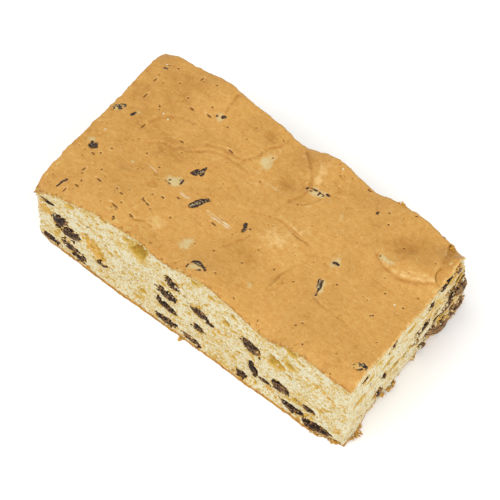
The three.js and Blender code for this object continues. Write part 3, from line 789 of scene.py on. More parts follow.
def skin_material():
    """Golden baked skin, with film, sultana skin, pores and scratches painted on it, and painted
    light and shade on its folds, crests, wrinkles, swells and pore rims.
    """
    m = Shader("baked skin")
    bake_and_shading, film, dark, grey, pore, pale, raw = (m.painted(name) for name in SKIN_LAYERS)
    cloud = m.noise(14, 2.0)
    mottle = m.noise(2.4, 3.0, 0.6)
    grain = m.noise(0.7, 2.0, 0.6)
    freckle = m.noise(1.1, 1.0, 0.5)
    fleck = m.noise(0.75, 2.0, 0.7, longer=(1.3, 1.0, 1.0))
    swirl = m.noise(4.5, 2.0, 0.5, longer=(2.2, 1.0, 1.0))
    stripe = m.noise(0.9, 2.0, 0.6, longer=(4.0, 1.0, 1.0))
    # Painted light and shade: the skin's own bake comes together with painted shade in folds,
    # wrinkles and hollows and painted highlights on crests, swells and pore rims, and deep and
    # light bring both into the colour.
    deep = bake_and_shading + (cloud - 0.5) * 1.3 + (swirl - 0.5) * 1.1 + (mottle - 0.5) * 0.5
    light = 0.0 - bake_and_shading + (mottle - 0.5) * 0.5 + (swirl - 0.5) * 1.2
    base = m.coats(
        colour("skin"),
        (deep, -0.1, 1.2, 1, "skin_deep"),
        (light, 0.05, 0.9, 1, "skin_pale"),
        (freckle, 0.62, 0.78, 0.45, "skin_pale"),
        (freckle, 0.36, 0.24, 0.35, "skin_deep"),
    )
    base = m.tinted(base, 0.64 + 0.30 * mottle + 0.24 * grain + 0.18 * stripe)
    base = m.mix(m.dots(2.9, 0.24) * m.step(mottle, 0.50, 0.56) * 0.6, base, colour("pore"))
    base = m.mix(m.dots(1.9, 0.28) * m.step(mottle, 0.50, 0.44) * 0.5, base, colour("skin_pale"))
    veil = m.step(film + (mottle - 0.5) * 0.9 + (freckle - 0.5) * 0.5, 0.1, 0.95)
    base = m.mix(veil * (0.45 + 0.70 * grain), base, colour("film"))
    base = m.coats(
        base,
        (raw + (freckle - 0.5) * 0.8, 0.25, 0.8, 1, "raw"),
        (pale, 0.1, 0.9, 1, "crumb"),
        (pore, 0.10, 0.40, 0.7, "flake"),
        (pore + (grain - 0.5) * 0.3, 0.36, 0.52, 0.95, "pore"),
        (dark, 0.15, 0.45, 0.6, "skin_deep"),
    )
    flesh = sultana_tones(m, (fleck - 0.5) * 1.6 + 0.46)
    flesh = m.coats(flesh, (grey + (fleck - 0.5) * 1.9, 0.38, 0.60, 0.9, "film_pale"))
    base = m.mix(m.step(dark + (freckle - 0.5) * 0.8, 0.42, 0.60), base, flesh)
    height = mottle * 0.5 + grain * 0.4 + stripe * 0.3 - pore * 0.8
    return m.surface(base, 0.50 + 0.12 * mottle, height, depth=0.26, specular=0.32)


def crumb_material():
    """Pale crumb: pores, open bubbles, syrup stains, shreds of sultana, toast at skin and base,
    with painted shade in its pits and on the shaded side of open bubbles.
    """
    m = Shader("cake crumb")
    pit_shade, bubble, syrup, toast, dark = (m.painted(name) for name in CRUMB_LAYERS)
    cloud = m.noise(9, 2.0)
    mottle = m.noise(1.5, 3.0, 0.65)
    grain = m.noise(0.7, 2.0, 0.7)
    hole = m.step(0.45 - m.cells(1.15), 0.0, 0.25)
    fine = m.step(m.cells(0.55), 0.0, 0.6)
    # Painted shade: random tone of the crumb and painted shade in its pits and holes, laid together
    # as crumb_deep.
    tone_and_pit_shade = pit_shade * 1.1 + hole * 0.30 + (mottle - 0.5) * 1.8 + (grain - 0.5) * 1.0
    tone_and_pit_shade = tone_and_pit_shade + (cloud - 0.5) * 0.9 + 0.295
    base = m.coats(
        colour("crumb"),
        (tone_and_pit_shade, 0.14, 0.86, 0.95, "crumb_deep"),
        # painted shade: the deepest pits take the olive bubble colour
        (pit_shade + hole * 0.2, 0.62, 0.95, 0.75, "bubble"),
    )
    base = m.shaded(base, 0.87 + 0.26 * grain)
    stained = syrup * (mottle * 3.4 - 0.9) + (pit_shade + hole) * syrup * 0.5
    base = m.coats(
        base,
        (stained, 0.15, 0.95, 0.9, "syrup"),
        (bubble * (0.5 + mottle), 0.05, 1.2, 0.95, "bubble"),
        # painted shade: the most shaded part of an open bubble's lining turns dark brown
        (bubble + (mottle - 0.5) * 0.6, 1.05, 1.7, 0.8, "base"),
        (toast + (mottle - 0.5) * 1.2 + hole * 0.25, 0.35, 1.0, 0.85, "base_light"),
        (dark, 0.05, 0.45, 0.6, "syrup"),
    )
    flesh = sultana_tones(m, (grain - 0.5) * 1.9 + 0.48 + toast * 0.15)
    base = m.mix(m.step(dark + (grain - 0.5) * 0.6, 0.40, 0.60), base, flesh)
    height = mottle * 0.5 + grain * 0.4 - hole * 0.6 + fine * 0.3
    return m.surface(base, 0.85, height, depth=0.22, specular=0.12)


def base_material():
    """Thin brown base, lighter where it has flaked."""
    m = Shader("brown base")
    mottle = m.noise(2.2, 3.0, 0.65)
    grain = m.noise(0.6, 2.0, 0.6)
    base = m.coats(
        colour("base"),
        (mottle, 0.40, 0.70, 1, "base_light"),
        (grain, 0.58, 0.78, 0.5, "crumb_deep"),
    )
    base = m.shaded(base, 0.85 + 0.3 * grain)
    return m.surface(base, 0.7, mottle + grain * 0.5, depth=0.18, specular=0.25)


def sultana_material():
    """Dark wrinkled sultana: ridges lightened as painted highlights, browner where it stands proud,
    and crumb stuck on it here and there.
    """
    m = Shader("sultana skin")
    ridge_sheen_and_brown, stuck = (m.painted(name) for name in SULTANA_LAYERS)
    mottle = m.noise(0.7, 2.0, 0.65)
    grain = m.noise(0.35, 1.0, 0.5)
    # painted highlight: wrinkle crests are lighter, and proud sultanas browner
    base = sultana_tones(m, ridge_sheen_and_brown * 0.7 + (mottle - 0.5) * 2.1 + 0.14)
    base = m.coats(base, (stuck + (grain - 0.5) * 0.6, 0.72, 0.86, 0.85, "sultana_ridge"))
    height = ridge_sheen_and_brown + mottle * 0.5 + grain * 0.2
    return m.surface(base, 0.5 + 0.25 * mottle, height, depth=0.3, specular=0.16)


def flake_material():
    """Crumbs and torn flakes: golden, some of them pale."""
    m = Shader("crumb flakes")
    mottle = m.noise(1.1, 3.0, 0.65)
    grain = m.noise(0.4, 2.0, 0.6)
    toast = m.painted("toast")
    base = m.coats(
        colour("crumb"),
        (toast + (mottle - 0.5) * 0.9, 0.10, 0.6, 1, "base_light"),
        (toast + (mottle - 0.5) * 1.2, 0.55, 0.95, 0.85, "flake"),
    )
    base = m.shaded(base, 0.8 + 0.4 * grain)
    return m.surface(base, 0.8, mottle + grain * 0.4, depth=0.25, specular=0.25)


# ------------------------------------------------------------------ skin


# Faint wrinkles of the skin: lump sizes of their noise, seed.
WRINKLES = (((9, 3.4, 1), 15), ((5, 2.2, 1), 25), ((3.2, 4.5, 1), 35))
SKIN_SEED = 7
STRAY_PORES = 210
STRAY_SPECKS = 90
SKIN_PIECE_DEPTH = 10  # how far the skin's hidden floor lies under its level


def paint_skin(skin):
    """Paints the relief of the top, and every mark on it but its pores and specks."""
    points = skin.points
    ragged = noise(points, 1.3, 5) * 0.22 + noise(points, 3.1, 6) * 0.18
    waver = noise(points, 2.6, 7) * 0.7 + noise(points, 1.1, 8) * 0.3
    broken = 0.75 + 0.45 * noise(points, 4.0, 9)
    skin.add("relief", 0.20 * layered_noise(points, 11, 11) + 0.06 * noise(points, 2.2, 12))
    skin.add("relief", 0.03 * noise(points, 1.0, 14))
    warped = points + np.stack((waver, broken, 0 * waver), axis=-1) * 1.2
    for spread, seed in WRINKLES:
        patchy = fade(noise(points, 13, seed + 1), 0.15, -0.35)
        wrinkle = fade(np.abs(noise(warped, spread, seed)), 0.0, 0.10) * patchy
        skin.add("relief", -0.13 * wrinkle)
        # painted shade in the groove of each wrinkle
        skin.add("bake_and_shading", 0.28 * wrinkle)
    # paler and darker patches: the skin's own bake and painted light and shade on swells and
    # hollows
    for around, r, amount in skin.ovals(BAKE_AND_SHADE_PATCHES, reach=2.2):
        skin.add("bake_and_shading", amount * bump(r + ragged[around]), around)
    paint_folds(skin, waver, broken)
    paint_films(skin, ragged, broken)


def paint_folds(skin, waver, broken):
    """Paints the skin's folds with the swollen side over each, painted shade along each fold and a
    painted highlight beside it, painted highlights along the crests, and cracks.
    """
    for depth, width, lip, reach, run in FOLDS:
        around, away, side = skin.stroke(run, 3 * reach)
        crooked = away * side + waver[around] * 0.5
        swollen = fade(-crooked * np.sign(lip), -0.5 * width, 0.5 * width) * bump(away / reach)
        fold = depth * broken[around] * bump(crooked / width)
        beside = broken[around] * bump((crooked * np.sign(lip) - 1.6 * width) / (0.9 * width))
        skin.add("relief", abs(lip) * swollen - fold, around)
        # painted shade along the fold and a painted highlight on the swollen side beside it
        skin.add("bake_and_shading", 2.6 * fold - 1.1 * abs(lip) * beside * fade(away, 2, 4), around)
    for strength, width, run in CREST_HIGHLIGHTS:
        around, away, side = skin.stroke(run, 3 * width)
        crooked = (away * side + waver[around] * 0.5) / width
        patchy = broken[around] * (0.8 + 0.9 * noise(skin.points[around], 1.3, 28))
        # painted highlight along the crest
        skin.add("bake_and_shading", -2.0 * strength * patchy * bump(crooked), around)
        skin.add("relief", 0.15 * strength * bump(crooked), around)
    for depth, width, run in CRACKS:
        around, away, side = skin.stroke(run, 2)
        crooked = away * side + waver[around] * 0.35
        crack = bump(crooked / width) * fade(away, 1.0, 2.0) * broken[around]
        skin.add("relief", -depth * crack, around)
        skin.most("pore", min(0.95, 1.15 * depth) * crack, around)


def paint_films(skin, ragged, broken):
    """Paints films over sultanas, the dark skin that breaks through them, specks and scuffs."""
    for around, r, strength, rise in skin.ovals(FILMS):
        r = r + ragged[around]
        skin.add("relief", rise * bump(r), around)
        vein = 0.35 * fade(np.abs(noise(skin.points[around], 2.2, 27)), 0.0, 0.12)
        skin.most("film", (1 - vein) * strength * fade(r, 0.1, 1.3), around)
    for width, grey, run in DARK_STROKES:
        around, away, _ = skin.stroke(run, 2 * width)
        away = away + ragged[around] * (0.9 + 0.35 * width)
        inside = fade(away, 0.0, 1.05 * width)
        skin.most("dark", inside * (1 if grey else 0.4 + 0.6 * broken[around]), around)
        skin.most("grey", grey * fade(away, 0.0, 0.75 * width), around)
        skin.add("relief", -0.3 * inside, around)
    for around, r, share in skin.ovals(SPECKLES):
        specks = noise(skin.points[around], 0.8, 21) * 0.5 + 0.5
        spread = fade(r, 0.6, 1.1) * fade(specks, share - 0.1, share + 0.06)
        skin.most("dark", 0.9 * spread, around)
        skin.most("grey", 0.42 * spread, around)
        skin.most("raw", 0.5 * fade(r, 0.6, 1.2), around)
        skin.add("relief", -0.5 * spread, around)
    for around, r, strength in skin.ovals(SCUFFS):
        r = r + 1.3 * ragged[around]
        skin.most("raw", strength * fade(r, 0.4, 1.2), around)
        skin.add("relief", 0.5 * noise(skin.points[around], 0.9, 22) * fade(r, 0.5, 1.1), around)


def paint_pores(skin, draw):
    """Paints pores, burst bubbles, scratches and stray crumbs of the top."""
    points = skin.points
    marks = [(x, y, length, 0.75, 83, 1.0) for x, y, length in PORES_ALONG_Y]
    marks += [(x, y, length, 0.8, -7, 1.0) for x, y, length in PORES_ALONG_X]
    marks += [(x, y, 1.0, 0.8, 0, 1.0) for x, y in PORE_DOTS]
    for _ in range(STRAY_PORES):
        x = -HALF_X + LENGTH * draw.random() ** 1.25
        marks.append((x, *drawn(
            draw, (-HALF_Y + 4, HALF_Y - 1), (0.6, 1.5), (0.5, 0.7), (0, 180), (0.3, 0.9))))
    for x, y, length, width, turn, strength in marks:
        around, r = skin.oval(x, y, length, width, turn, reach=2.6)
        skin.most("pore", strength * fade(r, 0.0, 2.0), around)
        # painted highlight on the back side of each pore's rim
        lit_rim = bump((r - 1.7) * 2) * fade(skin.y[around] - y, 0.3, -0.3)
        sunk = -0.45 * strength * fade(r, 0.2, 1.3)
        skin.add("relief", sunk + 0.1 * strength * lit_rim, around)
        skin.add("bake_and_shading", -0.9 * strength * lit_rim, around)
    for x, y, radius in CRATERS:
        around, r = skin.oval(x, y, 2.3 * radius, 1.7 * radius, 40, reach=2)
        r = r + 0.35 * noise(points[around], 1.5, 24)
        rim = bump((r - 1) * 3)
        skin.most("pore", 0.42 * rim, around)
        skin.add("bake_and_shading", 0.4 * fade(r, 0.8, 1.2), around)
        skin.add("relief", 0.12 * rim - 0.2 * fade(r, 0.6, 1), around)
    for width, run in SCRATCHES:
        around, away, _ = skin.stroke(run, 2)
        away = away + 0.25 * noise(points[around], 0.9, 23)
        patchy = 0.46 + 0.24 * noise(points[around], 1.6, 26)
        skin.most("pale", patchy * fade(away, 0.2 * width, 0.9 * width), around)
    specks = [(x, y, 1.2, 1.0) for x, y in WHITE_SPECKS]
    for _ in range(STRAY_SPECKS):
        specks.append(drawn(draw, (-HALF_X, HALF_X), (-HALF_Y, HALF_Y), (0.5, 0.9), (0.2, 0.6)))
    for x, y, width, strength in specks:
        around, r = skin.oval(x, y, width, width, 0)
        skin.most("pale", strength * fade(r, 0.4, 1.1), around)
        skin.add("relief", 0.2 * strength * fade(r, 0.2, 1.1), around)


def skin_places(skin, u, v):
    """Where each point of the top skin lies, with its edges ragged, chipped and bent down."""
    points = skin.points
    edge_x = HALF_X * (1 - np.abs(u))
    edge_y = HALF_Y * (1 - np.abs(v))
    edge = np.minimum(edge_x, edge_y)
    at_right = fade(u, 0.99, 0.96)
    shown = np.maximum(fade(v, -0.97, -0.93), 0.35 * at_right)
    torn = 0.32 * noise(points, 2.6, 31) + (0.12 + 0.3 * shown) * noise(points, 0.9, 32)
    chipped = 1.1 * shown * fade(noise(points, 1.7, 33), 0.6, 0.3)
    outward = torn - chipped + 0.35
    x = skin.x + outward * np.sign(u) * fade(edge_x, 0.0, 2.2)
    y = skin.y + outward * np.sign(v) * fade(edge_y, 0.0, 2.2)
    away, side = run_distance(skin.x, skin.y, TORN_CORNER)
    near_tear = skin.x > TORN_FROM
    behind = fade(-side * away + 0.5 * noise(points, 1.2, 34), -0.4, 0.4) * near_tear
    lip = TORN_LIP * (1 - behind) * bump(away / 3.5) * near_tear
    z = skin_height(skin.x, skin.y) + skin.layers["relief"] + lip
    z = z - 0.3 * fade(edge, 0.0, 0.9) + 0.18 * noise(points, 1.2, 35) * fade(edge, 0.0, 1.2)
    crumbly = shown * fade(edge + 1.2 * noise(points, 1.4, 36), 0.0, 0.8)
    browned = shown * fade(edge + 0.4 * noise(points, 1.1, 37), 0.3, 0.8)
    thin_rim = at_right * fade(edge_x + 0.5 * noise(points, 1.3, 38), 0.3, 1.0)
    skin.most("raw", 0.6 * crumbly * (1 - behind))
    skin.add("bake_and_shading", 1.3 * browned)
    skin.add("bake_and_shading", 0.3 * behind)
    skin.add("bake_and_shading", -1.5 * thin_rim)
    return np.stack((x, y, z), axis=-1)


def plan_shares(length, width, cell):
    """Shares u and v of a grid over the plan, with cells of about a size."""
    return np.meshgrid(np.linspace(-1, 1, round(length / cell) + 1),
                       np.linspace(-1, 1, round(width / cell) + 1))


def build_skin():
    """The top: one sheet with its edge turned down, closed by a flat floor hidden in the slab."""
    u, v = plan_shares(LENGTH, WIDTH - FRONT_LEAN, sizes().skin_cell / MM)
    skin = Sheet(*slab_plan(u, v, 1.0), slack=4.0, names=SKIN_LAYERS)
    paint_skin(skin)
    paint_pores(skin, random.Random(SKIN_SEED))
    bm = grid_of(skin, skin_places(skin, u, v))
    thick = sizes().skin / MM
    floor = SKIN_LEVEL - SKIN_PIECE_DEPTH
    rim = draw_rim(bm, rim_of(bm), lambda x, y, z: (x * 0.9985, y * 0.997, z - thick))
    rim = draw_rim(bm, rim, lambda x, y, z: (x * 0.96, y * 0.93, z - thick))
    rim = draw_rim(bm, rim, lambda x, y, z: (x * 0.98, y * 0.97, floor))
    cap(bm, rim)
    finish_piece(bm, "baked_skin", skin_material())


# ------------------------------------------------------------------ crumb

# Half the length of each cut at the base, and the way out of it.
CUTS = {
    "front": (HALF_X, (0, -1)),
    "right": (HALF_Y, (1, 0)),
    "back": (HALF_X, (0, 1)),
    "left": (HALF_Y, (-1, 0)),
}
SHOWN = ("front", "right")
CRUMB_DEPTH = 12  # how far the crumb's pieces reach into the slab
UNDER_SKIN = 0.75  # how far under the skin's top the crumb ends
RELIEF_RANGE = (-4.0, 2.4)  # least and greatest relief of a cut
HIDDEN_SEED = 23
# Pits of the crumb: spacing, least and greatest radius, share of places, stretch, depth, tone,
# the tone being how much painted shade fills a pit.
PITS = (
    (1.3, (0.22, 0.52), 0.75, 1.15, 0.65, 0.55),
    (2.8, (0.35, 0.90), 0.5, 1.2, 0.9, 1.0),
    (7.0, (0.7, 1.5), 0.6, 1.4, 0.9, 1.0),
)


def cut_shares(cut, along):
    """Shares u and v of places along a cut, counted from left to right as seen from outside."""
    share = along / CUTS[cut][0]
    one = np.ones_like(share)
    return {
        "front": (share, -one),
        "right": (one, share),
        "back": (-share, one),
        "left": (-one, -share),
    }[cut]


def cut_height(cut, along):
    """Height of the skin over places along a cut."""
    return skin_height(*slab_plan(*cut_shares(cut, along), 1.0))


def cut_plan(cut, along, up):
    """Plan place of points at a height on a cut."""
    return slab_plan(*cut_shares(cut, along), up / cut_height(cut, along))


def foot_out(cut, along, up):
    """How far the foot of a cut stands out."""
    places, outs = zip(*FOOT_LINES[cut])
    return np.interp(along, places, outs) * bump(up / FOOT_HEIGHT)


def sultana_rows(cut):
    """The sultanas at a cut: along, up, length, thickness, turn, proud."""
    if cut in SHOWN:
        return {"front": FRONT_SULTANAS, "right": RIGHT_SULTANAS}[cut]
    draw = random.Random(HIDDEN_SEED + len(cut))
    count = HIDDEN_SULTANAS[cut]
    span = 2 * CUTS[cut][0] - 12
    rows = []
    for i in range(count):
        along, up, *shape = drawn(
            draw, (-0.4, 1.4), (-2, 10), (4, 13), (2.2, 6.5), (-50, 25), (0.1, 0.7))
        rows.append((-span / 2 + (i + along) * span / count, 4 + 12 * (i * 2 % 3) + up, *shape))
    if cut == "back":
        rows.append(BACK_CORNER_SULTANA)
    return rows


def cut_marks(cut):
    """Bubbles and stains of a cut: named where it shows, drawn where it is hidden."""
    if cut in SHOWN:
        return {"front": (FRONT_BUBBLES, FRONT_STAINS), "right": (RIGHT_BUBBLES, RIGHT_STAINS)}[cut]
    draw = random.Random(len(cut))
    half = CUTS[cut][0]
    count = int(half / 4)
    bubbles = [(*drawn(draw, (-half, half), (4, 46)), 1.5 + 7 * draw.random() ** 2,
                *drawn(draw, (1.5, 4), (0.8, 2.2), (0.3, 0.9))) for _ in range(count)]
    stains = [drawn(draw, (-half, half), (4, 44), (5, 14), (3, 7), (-40, 20), (0.3, 0.9))
              for _ in range(count)]
    return bubbles, stains


def paint_crumb(crumb, cut):
    """Paints the relief, pits, stains and sultana beds of a cut. The right one is torn behind."""
    seed = 100 * list(CUTS).index(cut)
    points = crumb.points
    ragged = noise(points, 1.4, seed + 41) * 0.2 + noise(points, 3.3, seed + 42) * 0.15
    strata = layered_noise(points, (9, 1.7, 1), seed + 43)
    right = cut == "right"
    torn = 0.25 + 0.75 * fade(crumb.x, 22, 4) if right else 0.25
    fine = 0.10 * noise(points, 1.1, seed + 45)
    crumb.add("relief", 0.30 * layered_noise(points, 6, seed + 44) + fine)
    crumb.add("relief", 0.50 * torn * strata)
    paint_pits(crumb, seed, 0.6 if right else 1.0)
    # painted shade in the hollows between the crumb's strata
    crumb.add("pit_shade", 1.1 * torn * np.clip(-strata, 0, 1))
    if right:
        crumb.add("pit_shade", -0.13 * fade(crumb.x, 12, 26))
    golden = fade(noise(points, (7, 2.6, 1), seed + 49), 0.7, 0.1)
    crumb.most("syrup", (0.15 + 0.4 * torn) * golden)
    near_skin = fade(cut_height(cut, crumb.x) - crumb.y, 0.8, 3.2)
    olive = fade(noise(points, (1.7, 1.2, 1), seed + 52), 0.45, 0.05)
    crumb.most("bubble", (0.3 if right else 0.9) * near_skin * olive)
    crumb.add("relief", -0.5 * near_skin * olive)
    crumb.most("syrup", 0.5 * near_skin * (0.6 + olive))
    if right:
        paint_strands(crumb, seed)
    paint_marks(crumb, cut, seed, ragged)
    if cut == "front":
        paint_shreds(crumb, seed, ragged)
    if right:
        paint_lumps(crumb, ragged)
    paint_beds(crumb, cut, seed, ragged)


def paint_pits(crumb, seed, openness):
    """Paints the scattered pits of the crumb, of three sizes, with painted shade in each."""
    for number, (spacing, radii, share, stretch, depth, tone) in enumerate(PITS, 1):
        pits = scattered_pores(crumb.x, crumb.y, spacing, radii, share, stretch, seed + number)
        crumb.add("relief", -openness * depth * pits)
        crumb.most("pit_shade", openness * tone * np.clip(1.1 * pits / radii[1], 0, 1))


def paint_strands(crumb, seed):
    """Paints dark strands between the lumps of the torn part of the right cut."""
    low_part = fade(crumb.x, 14, 2) * fade(crumb.y, 20, 30)
    strands = fade(noise(crumb.points, (6, 1.0, 1), seed + 54), 0.45, 0.15)
    strands = strands * np.maximum(low_part, fade(crumb.x, 36, 24))
    crumb.most("dark", 0.8 * strands)
    crumb.add("relief", -0.5 * strands)


def paint_marks(crumb, cut, seed, ragged):
    """Paints the open bubbles, with painted shade inside each and darker towards its upper left,
    and the syrup stains of a cut.
    """
    bubbles, stains = cut_marks(cut)
    specks = fade(noise(crumb.points, (1.6, 1.1, 1), seed + 53), 0.55, 0.2)
    for along, up, length, height, depth, tone in bubbles:
        around, r = crumb.oval(along, up, length, height)
        r = r + ragged[around] * 1.1
        crumb.add("relief", -depth * fade(r, 0.1, 1.15), around)
        # painted shade inside each bubble, deeper towards its upper left side
        crumb.most("pit_shade", 0.9 * fade(r, 0.4, 1.35), around)
        slope = (crumb.y[around] - up) / height - 0.8 * (crumb.x[around] - along) / length
        shaded_side = np.clip(0.6 + 1.1 * slope, 0.0, 1.4)
        crumb.most("bubble", 1.4 * tone * shaded_side * fade(r, 0.4, 1.25), around)
    for around, r, strength in crumb.ovals(stains):
        r = r + 1.3 * ragged[around]
        crumb.most("syrup", 1.2 * strength * fade(r, 0.3, 1.5), around)
        soaked = strength * fade(r, 0.3, 1.2)
        crumb.most("bubble", 0.9 * soaked * specks[around], around)
        crumb.add("relief", -0.5 * soaked, around)


def paint_shreds(crumb, seed, ragged):
    """Paints fine shreds of sultana skin in the front cut."""
    for around, r in crumb.ovals(FRONT_SHREDS):
        shreds = fade(noise(crumb.points[around], 0.8, seed + 55), 0.50, 0.20)
        crumb.most("dark", 0.52 * shreds * fade(r + ragged[around], 0.3, 1.2), around)


def paint_lumps(crumb, ragged):
    """Raises and toasts the lumps of the right cut."""
    for along, up, length, height, rise in RIGHT_LUMPS:
        around, r = crumb.oval(along, up, length, height)
        rough = ragged[around]
        crumb.add("relief", (rise + 0.5 * rough) * fade(r + rough, 0.1, 1.2), around)
        crumb.most("toast", 0.65 * fade(r + 1.5 * rough, 0.5, 1.2), around)


def paint_beds(crumb, cut, seed, ragged):
    """Paints the dark bed, the stain and the raised rim round each sultana of a cut."""
    streaks = noise(crumb.points, (2.4, 0.9, 1), seed + 50)
    flecks = fade(noise(crumb.points, (1.8, 1.0, 1), seed + 51), 0.48, 0.22)
    for along, up, length, thickness, turn, _ in sultana_rows(cut):
        around, r = crumb.oval(along, up, length + 0.6, thickness + 0.6, turn, reach=2.2)
        r = r + ragged[around] * 0.6
        pale = flecks[around]
        rim = 0.25 * bump((r - 1.25) * 4)
        crumb.add("relief", (1.5 * pale - 1.0) * fade(r, 0.75, 1.1) + rim, around)
        crumb.most("syrup", 0.55 * fade(r, 0.9, 1.6), around)
        crumb.most("dark", fade(r + 0.35 * streaks[around], 0.92, 1.12) * (1 - pale), around)


def cut_places(crumb, cut):
    """Where each point of a cut lies: its plane, foot, relief and ragged upright edges."""
    along, up = crumb.x, crumb.y
    half, (out_x, out_y) = CUTS[cut]
    height = cut_height(cut, along)
    x, y = cut_plan(cut, along, up)
    corner = fade(half - np.abs(along), 0.0, 1.8)
    points = flat_points(x * 0.6, up)
    ragged = 0.34 * noise(points, 2.0, 71) + 0.26 * noise(points, 0.8, 72) - 0.2
    ragged = ragged - 0.6 * bump(up / FOOT_HEIGHT)
    under_skin = fade(height - up, 0.9, 2.2)
    relief = np.clip(crumb.layers["relief"], *RELIEF_RANGE) - 0.2
    relief = relief * (1 - 0.8 * under_skin) + foot_out(cut, along, up)
    out = relief * (1 - corner) + ragged * corner
    sideways = ragged * corner * np.sign(along)
    x = x + out * out_x - sideways * out_y
    y = y + out * out_y + sideways * out_x
    return np.stack((x, y, up), axis=-1)


def build_crumb(cut):
    """One cut of the crumb: a fine sheet, closed by a smaller flat back inside the slab."""
    cell = (sizes().shown_cell if cut in SHOWN else sizes().hidden_cell) / MM
    half, (out_x, out_y) = CUTS[cut]
    along = np.linspace(-half, half, round(2 * half / cell) + 1)
    low = 0.6 * sizes().base / MM
    high = cut_height(cut, along) - UNDER_SKIN
    share = np.linspace(0, 1, round((SKIN_LEVEL + 1) / cell) + 1)[:, None]
    up = low + share * (high - low)
    crumb = Sheet(np.broadcast_to(along, up.shape).copy(), up, slack=0.6, names=CRUMB_LAYERS)
    paint_crumb(crumb, cut)
    crumb.most("toast", 0.9 * fade(high - up, 0.0, 1.3))
    crumb.most("toast", 0.9 * fade(up, 0.7, 2.4))
    bm = grid_of(crumb, cut_places(crumb, cut))
    back_x, back_y = out_x * (HALF_X - CRUMB_DEPTH), out_y * (HALF_Y - CRUMB_DEPTH)

    def ledge(x, y, z):
        return x - 2 * out_x - 0.01 * x * abs(out_y), y - 2 * out_y - 0.02 * y * abs(out_x), z

    def inward(x, y, z):
        z = np.minimum(z, 0.75 * z + 5)
        return (back_x, y * 0.7, z) if out_x else (x * 0.84, back_y, z)

    rim = draw_rim(bm, rim_of(bm), ledge)
    cap(bm, draw_rim(bm, rim, inward))
    finish_piece(bm, f"crumb_{cut}", crumb_material())


# ------------------------------------------------------------------ base


BASE_CELL = 0.9  # edge of the hidden plate's mesh faces


def build_base():
    """The thin brown base: a plate under the slab with a fine ragged rim."""
    u, v = plan_shares(LENGTH, WIDTH, BASE_CELL)
    x, y = slab_plan(u, v, 0.0)
    plate = Sheet(x, y, slack=1.0)
    points = plate.points
    edge_x = fade(HALF_X * (1 - np.abs(u)), 0.0, 1.5)
    edge_y = fade(HALF_Y * (1 - np.abs(v)), 0.0, 1.5)
    ragged = 0.1 + 0.25 * noise(points, 3.0, 51)
    for cut, (_, (out_x, out_y)) in CUTS.items():
        along = y * out_x - x * out_y
        far = ragged + foot_out(cut, along, 0.0)
        x = x + out_x * far * edge_x * (np.sign(u) == out_x)
        y = y + out_y * far * edge_y * (np.sign(v) == out_y)
    lift = 0.25 * (noise(points, 6, 53) * 0.5 + 0.5) + 0.12 * (noise(points, 1.4, 54) * 0.5 + 0.5)
    z = lift * (1 - np.maximum(edge_x, edge_y)) + 0.15
    bm = grid_of(plate, np.stack((x, y, z), axis=-1))
    bmesh.ops.subdivide_edges(bm, edges=rim_of(bm), cuts=2)
    thick = sizes().base / MM

    def ragged_rim(grow, level, amount, seed):
        def place(x, y, z):
            spots = flat_points(x, y)
            share = grow * noise(spots, 1.3, seed) + 0.6 * grow * noise(spots, 0.6, seed + 1)
            rise = amount * noise(spots, 1.7, seed + 2) + 0.5 * amount * noise(spots, 0.7, seed + 3)
            z = np.maximum(FLOOR_GAP, level + rise)
            return x * (1 + share / HALF_X), y * (1 + share / HALF_Y), z
        return place

    rim = draw_rim(bm, rim_of(bm), ragged_rim(0.35, 0.4 * thick, 0.1, 57))
    rim = draw_rim(bm, rim, ragged_rim(0.3, thick, 0.35, 60))
    rim = draw_rim(bm, rim, lambda x, y, z: (x * 0.985, y * 0.97, z))
    rim = draw_rim(bm, rim, lambda x, y, z: (x * 0.98, y * 0.96, 0.9 * thick))
    cap(bm, rim)
    finish_piece(bm, "brown_base", base_material())


# ------------------------------------------------------------------ sultanas and crumbs


HIDDEN_LEVEL, SMALL_LEVEL, BIG_LEVEL = 3, 4, 5  # how finely the balls of sultanas are divided
BIG_SULTANA = 34  # length times thickness over which a shown sultana is big
PROUD_SULTANA = 0.8  # one that stands out so far is brown
FLAKE_ROOT = 1.6  # how deep in its cut a torn flake begins
FLAKE_SEED = 31
LOOSE_CRUMBS = 620
LOOSE_WEIGHTS = (5, 6, 4, 2)  # how often one clings to the front, right, back and left cut


def cut_frame(cut, along, up):
    """Point on a cut in mm, and the directions along it, up it and out of it."""
    x, y = cut_plan(cut, np.array([float(along)]), up)
    out_x, out_y = CUTS[cut][1]
    foot = float(foot_out(cut, along, up))
    place = Vector((float(x[0]) + out_x * foot, float(y[0]) + out_y * foot, up))
    return place, Vector((-out_y, out_x, 0)), Vector((0, 0, 1)), Vector((out_x, out_y, 0))


def balls(bm, level, count):
    """Makes count equal balls, 1 across, and returns the points of each."""
    groups = [bmesh.ops.create_icosphere(bm, subdivisions=level, radius=0.5)["verts"]]
    while len(groups) < count:
        copied = groups[:count - len(groups)]
        verts = [vert for group in copied for vert in group]
        edges = list({edge for vert in verts for edge in vert.link_edges})
        faces = list({face for vert in verts for face in vert.link_faces})
        twin = bmesh.ops.duplicate(bm, geom=verts + edges + faces)["vert_map"]
        groups += [[twin[vert] for vert in group] for group in copied]
    return groups


def shape_lump(verts, frame_of_lump, size_mm, turn, shape):
    """Turns a ball into a lump of size_mm (length, thickness, depth) that shape rearranges."""
    place, side, rise, out = frame_of_lump
    ball = np.array([vert.co[:] for vert in verts])
    spots, painted = shape(ball, ball * size_mm)
    turn = math.radians(turn)
    across = rise * math.cos(turn) - side * math.sin(turn)
    side = side * math.cos(turn) + rise * math.sin(turn)
    for index, vert in enumerate(verts):
        a, b, c = spots[index].tolist()
        vert.co = (place + side * a + across * b + out * c) * MM
        for layer, values in painted.items():
            vert[layer] = float(values[index])


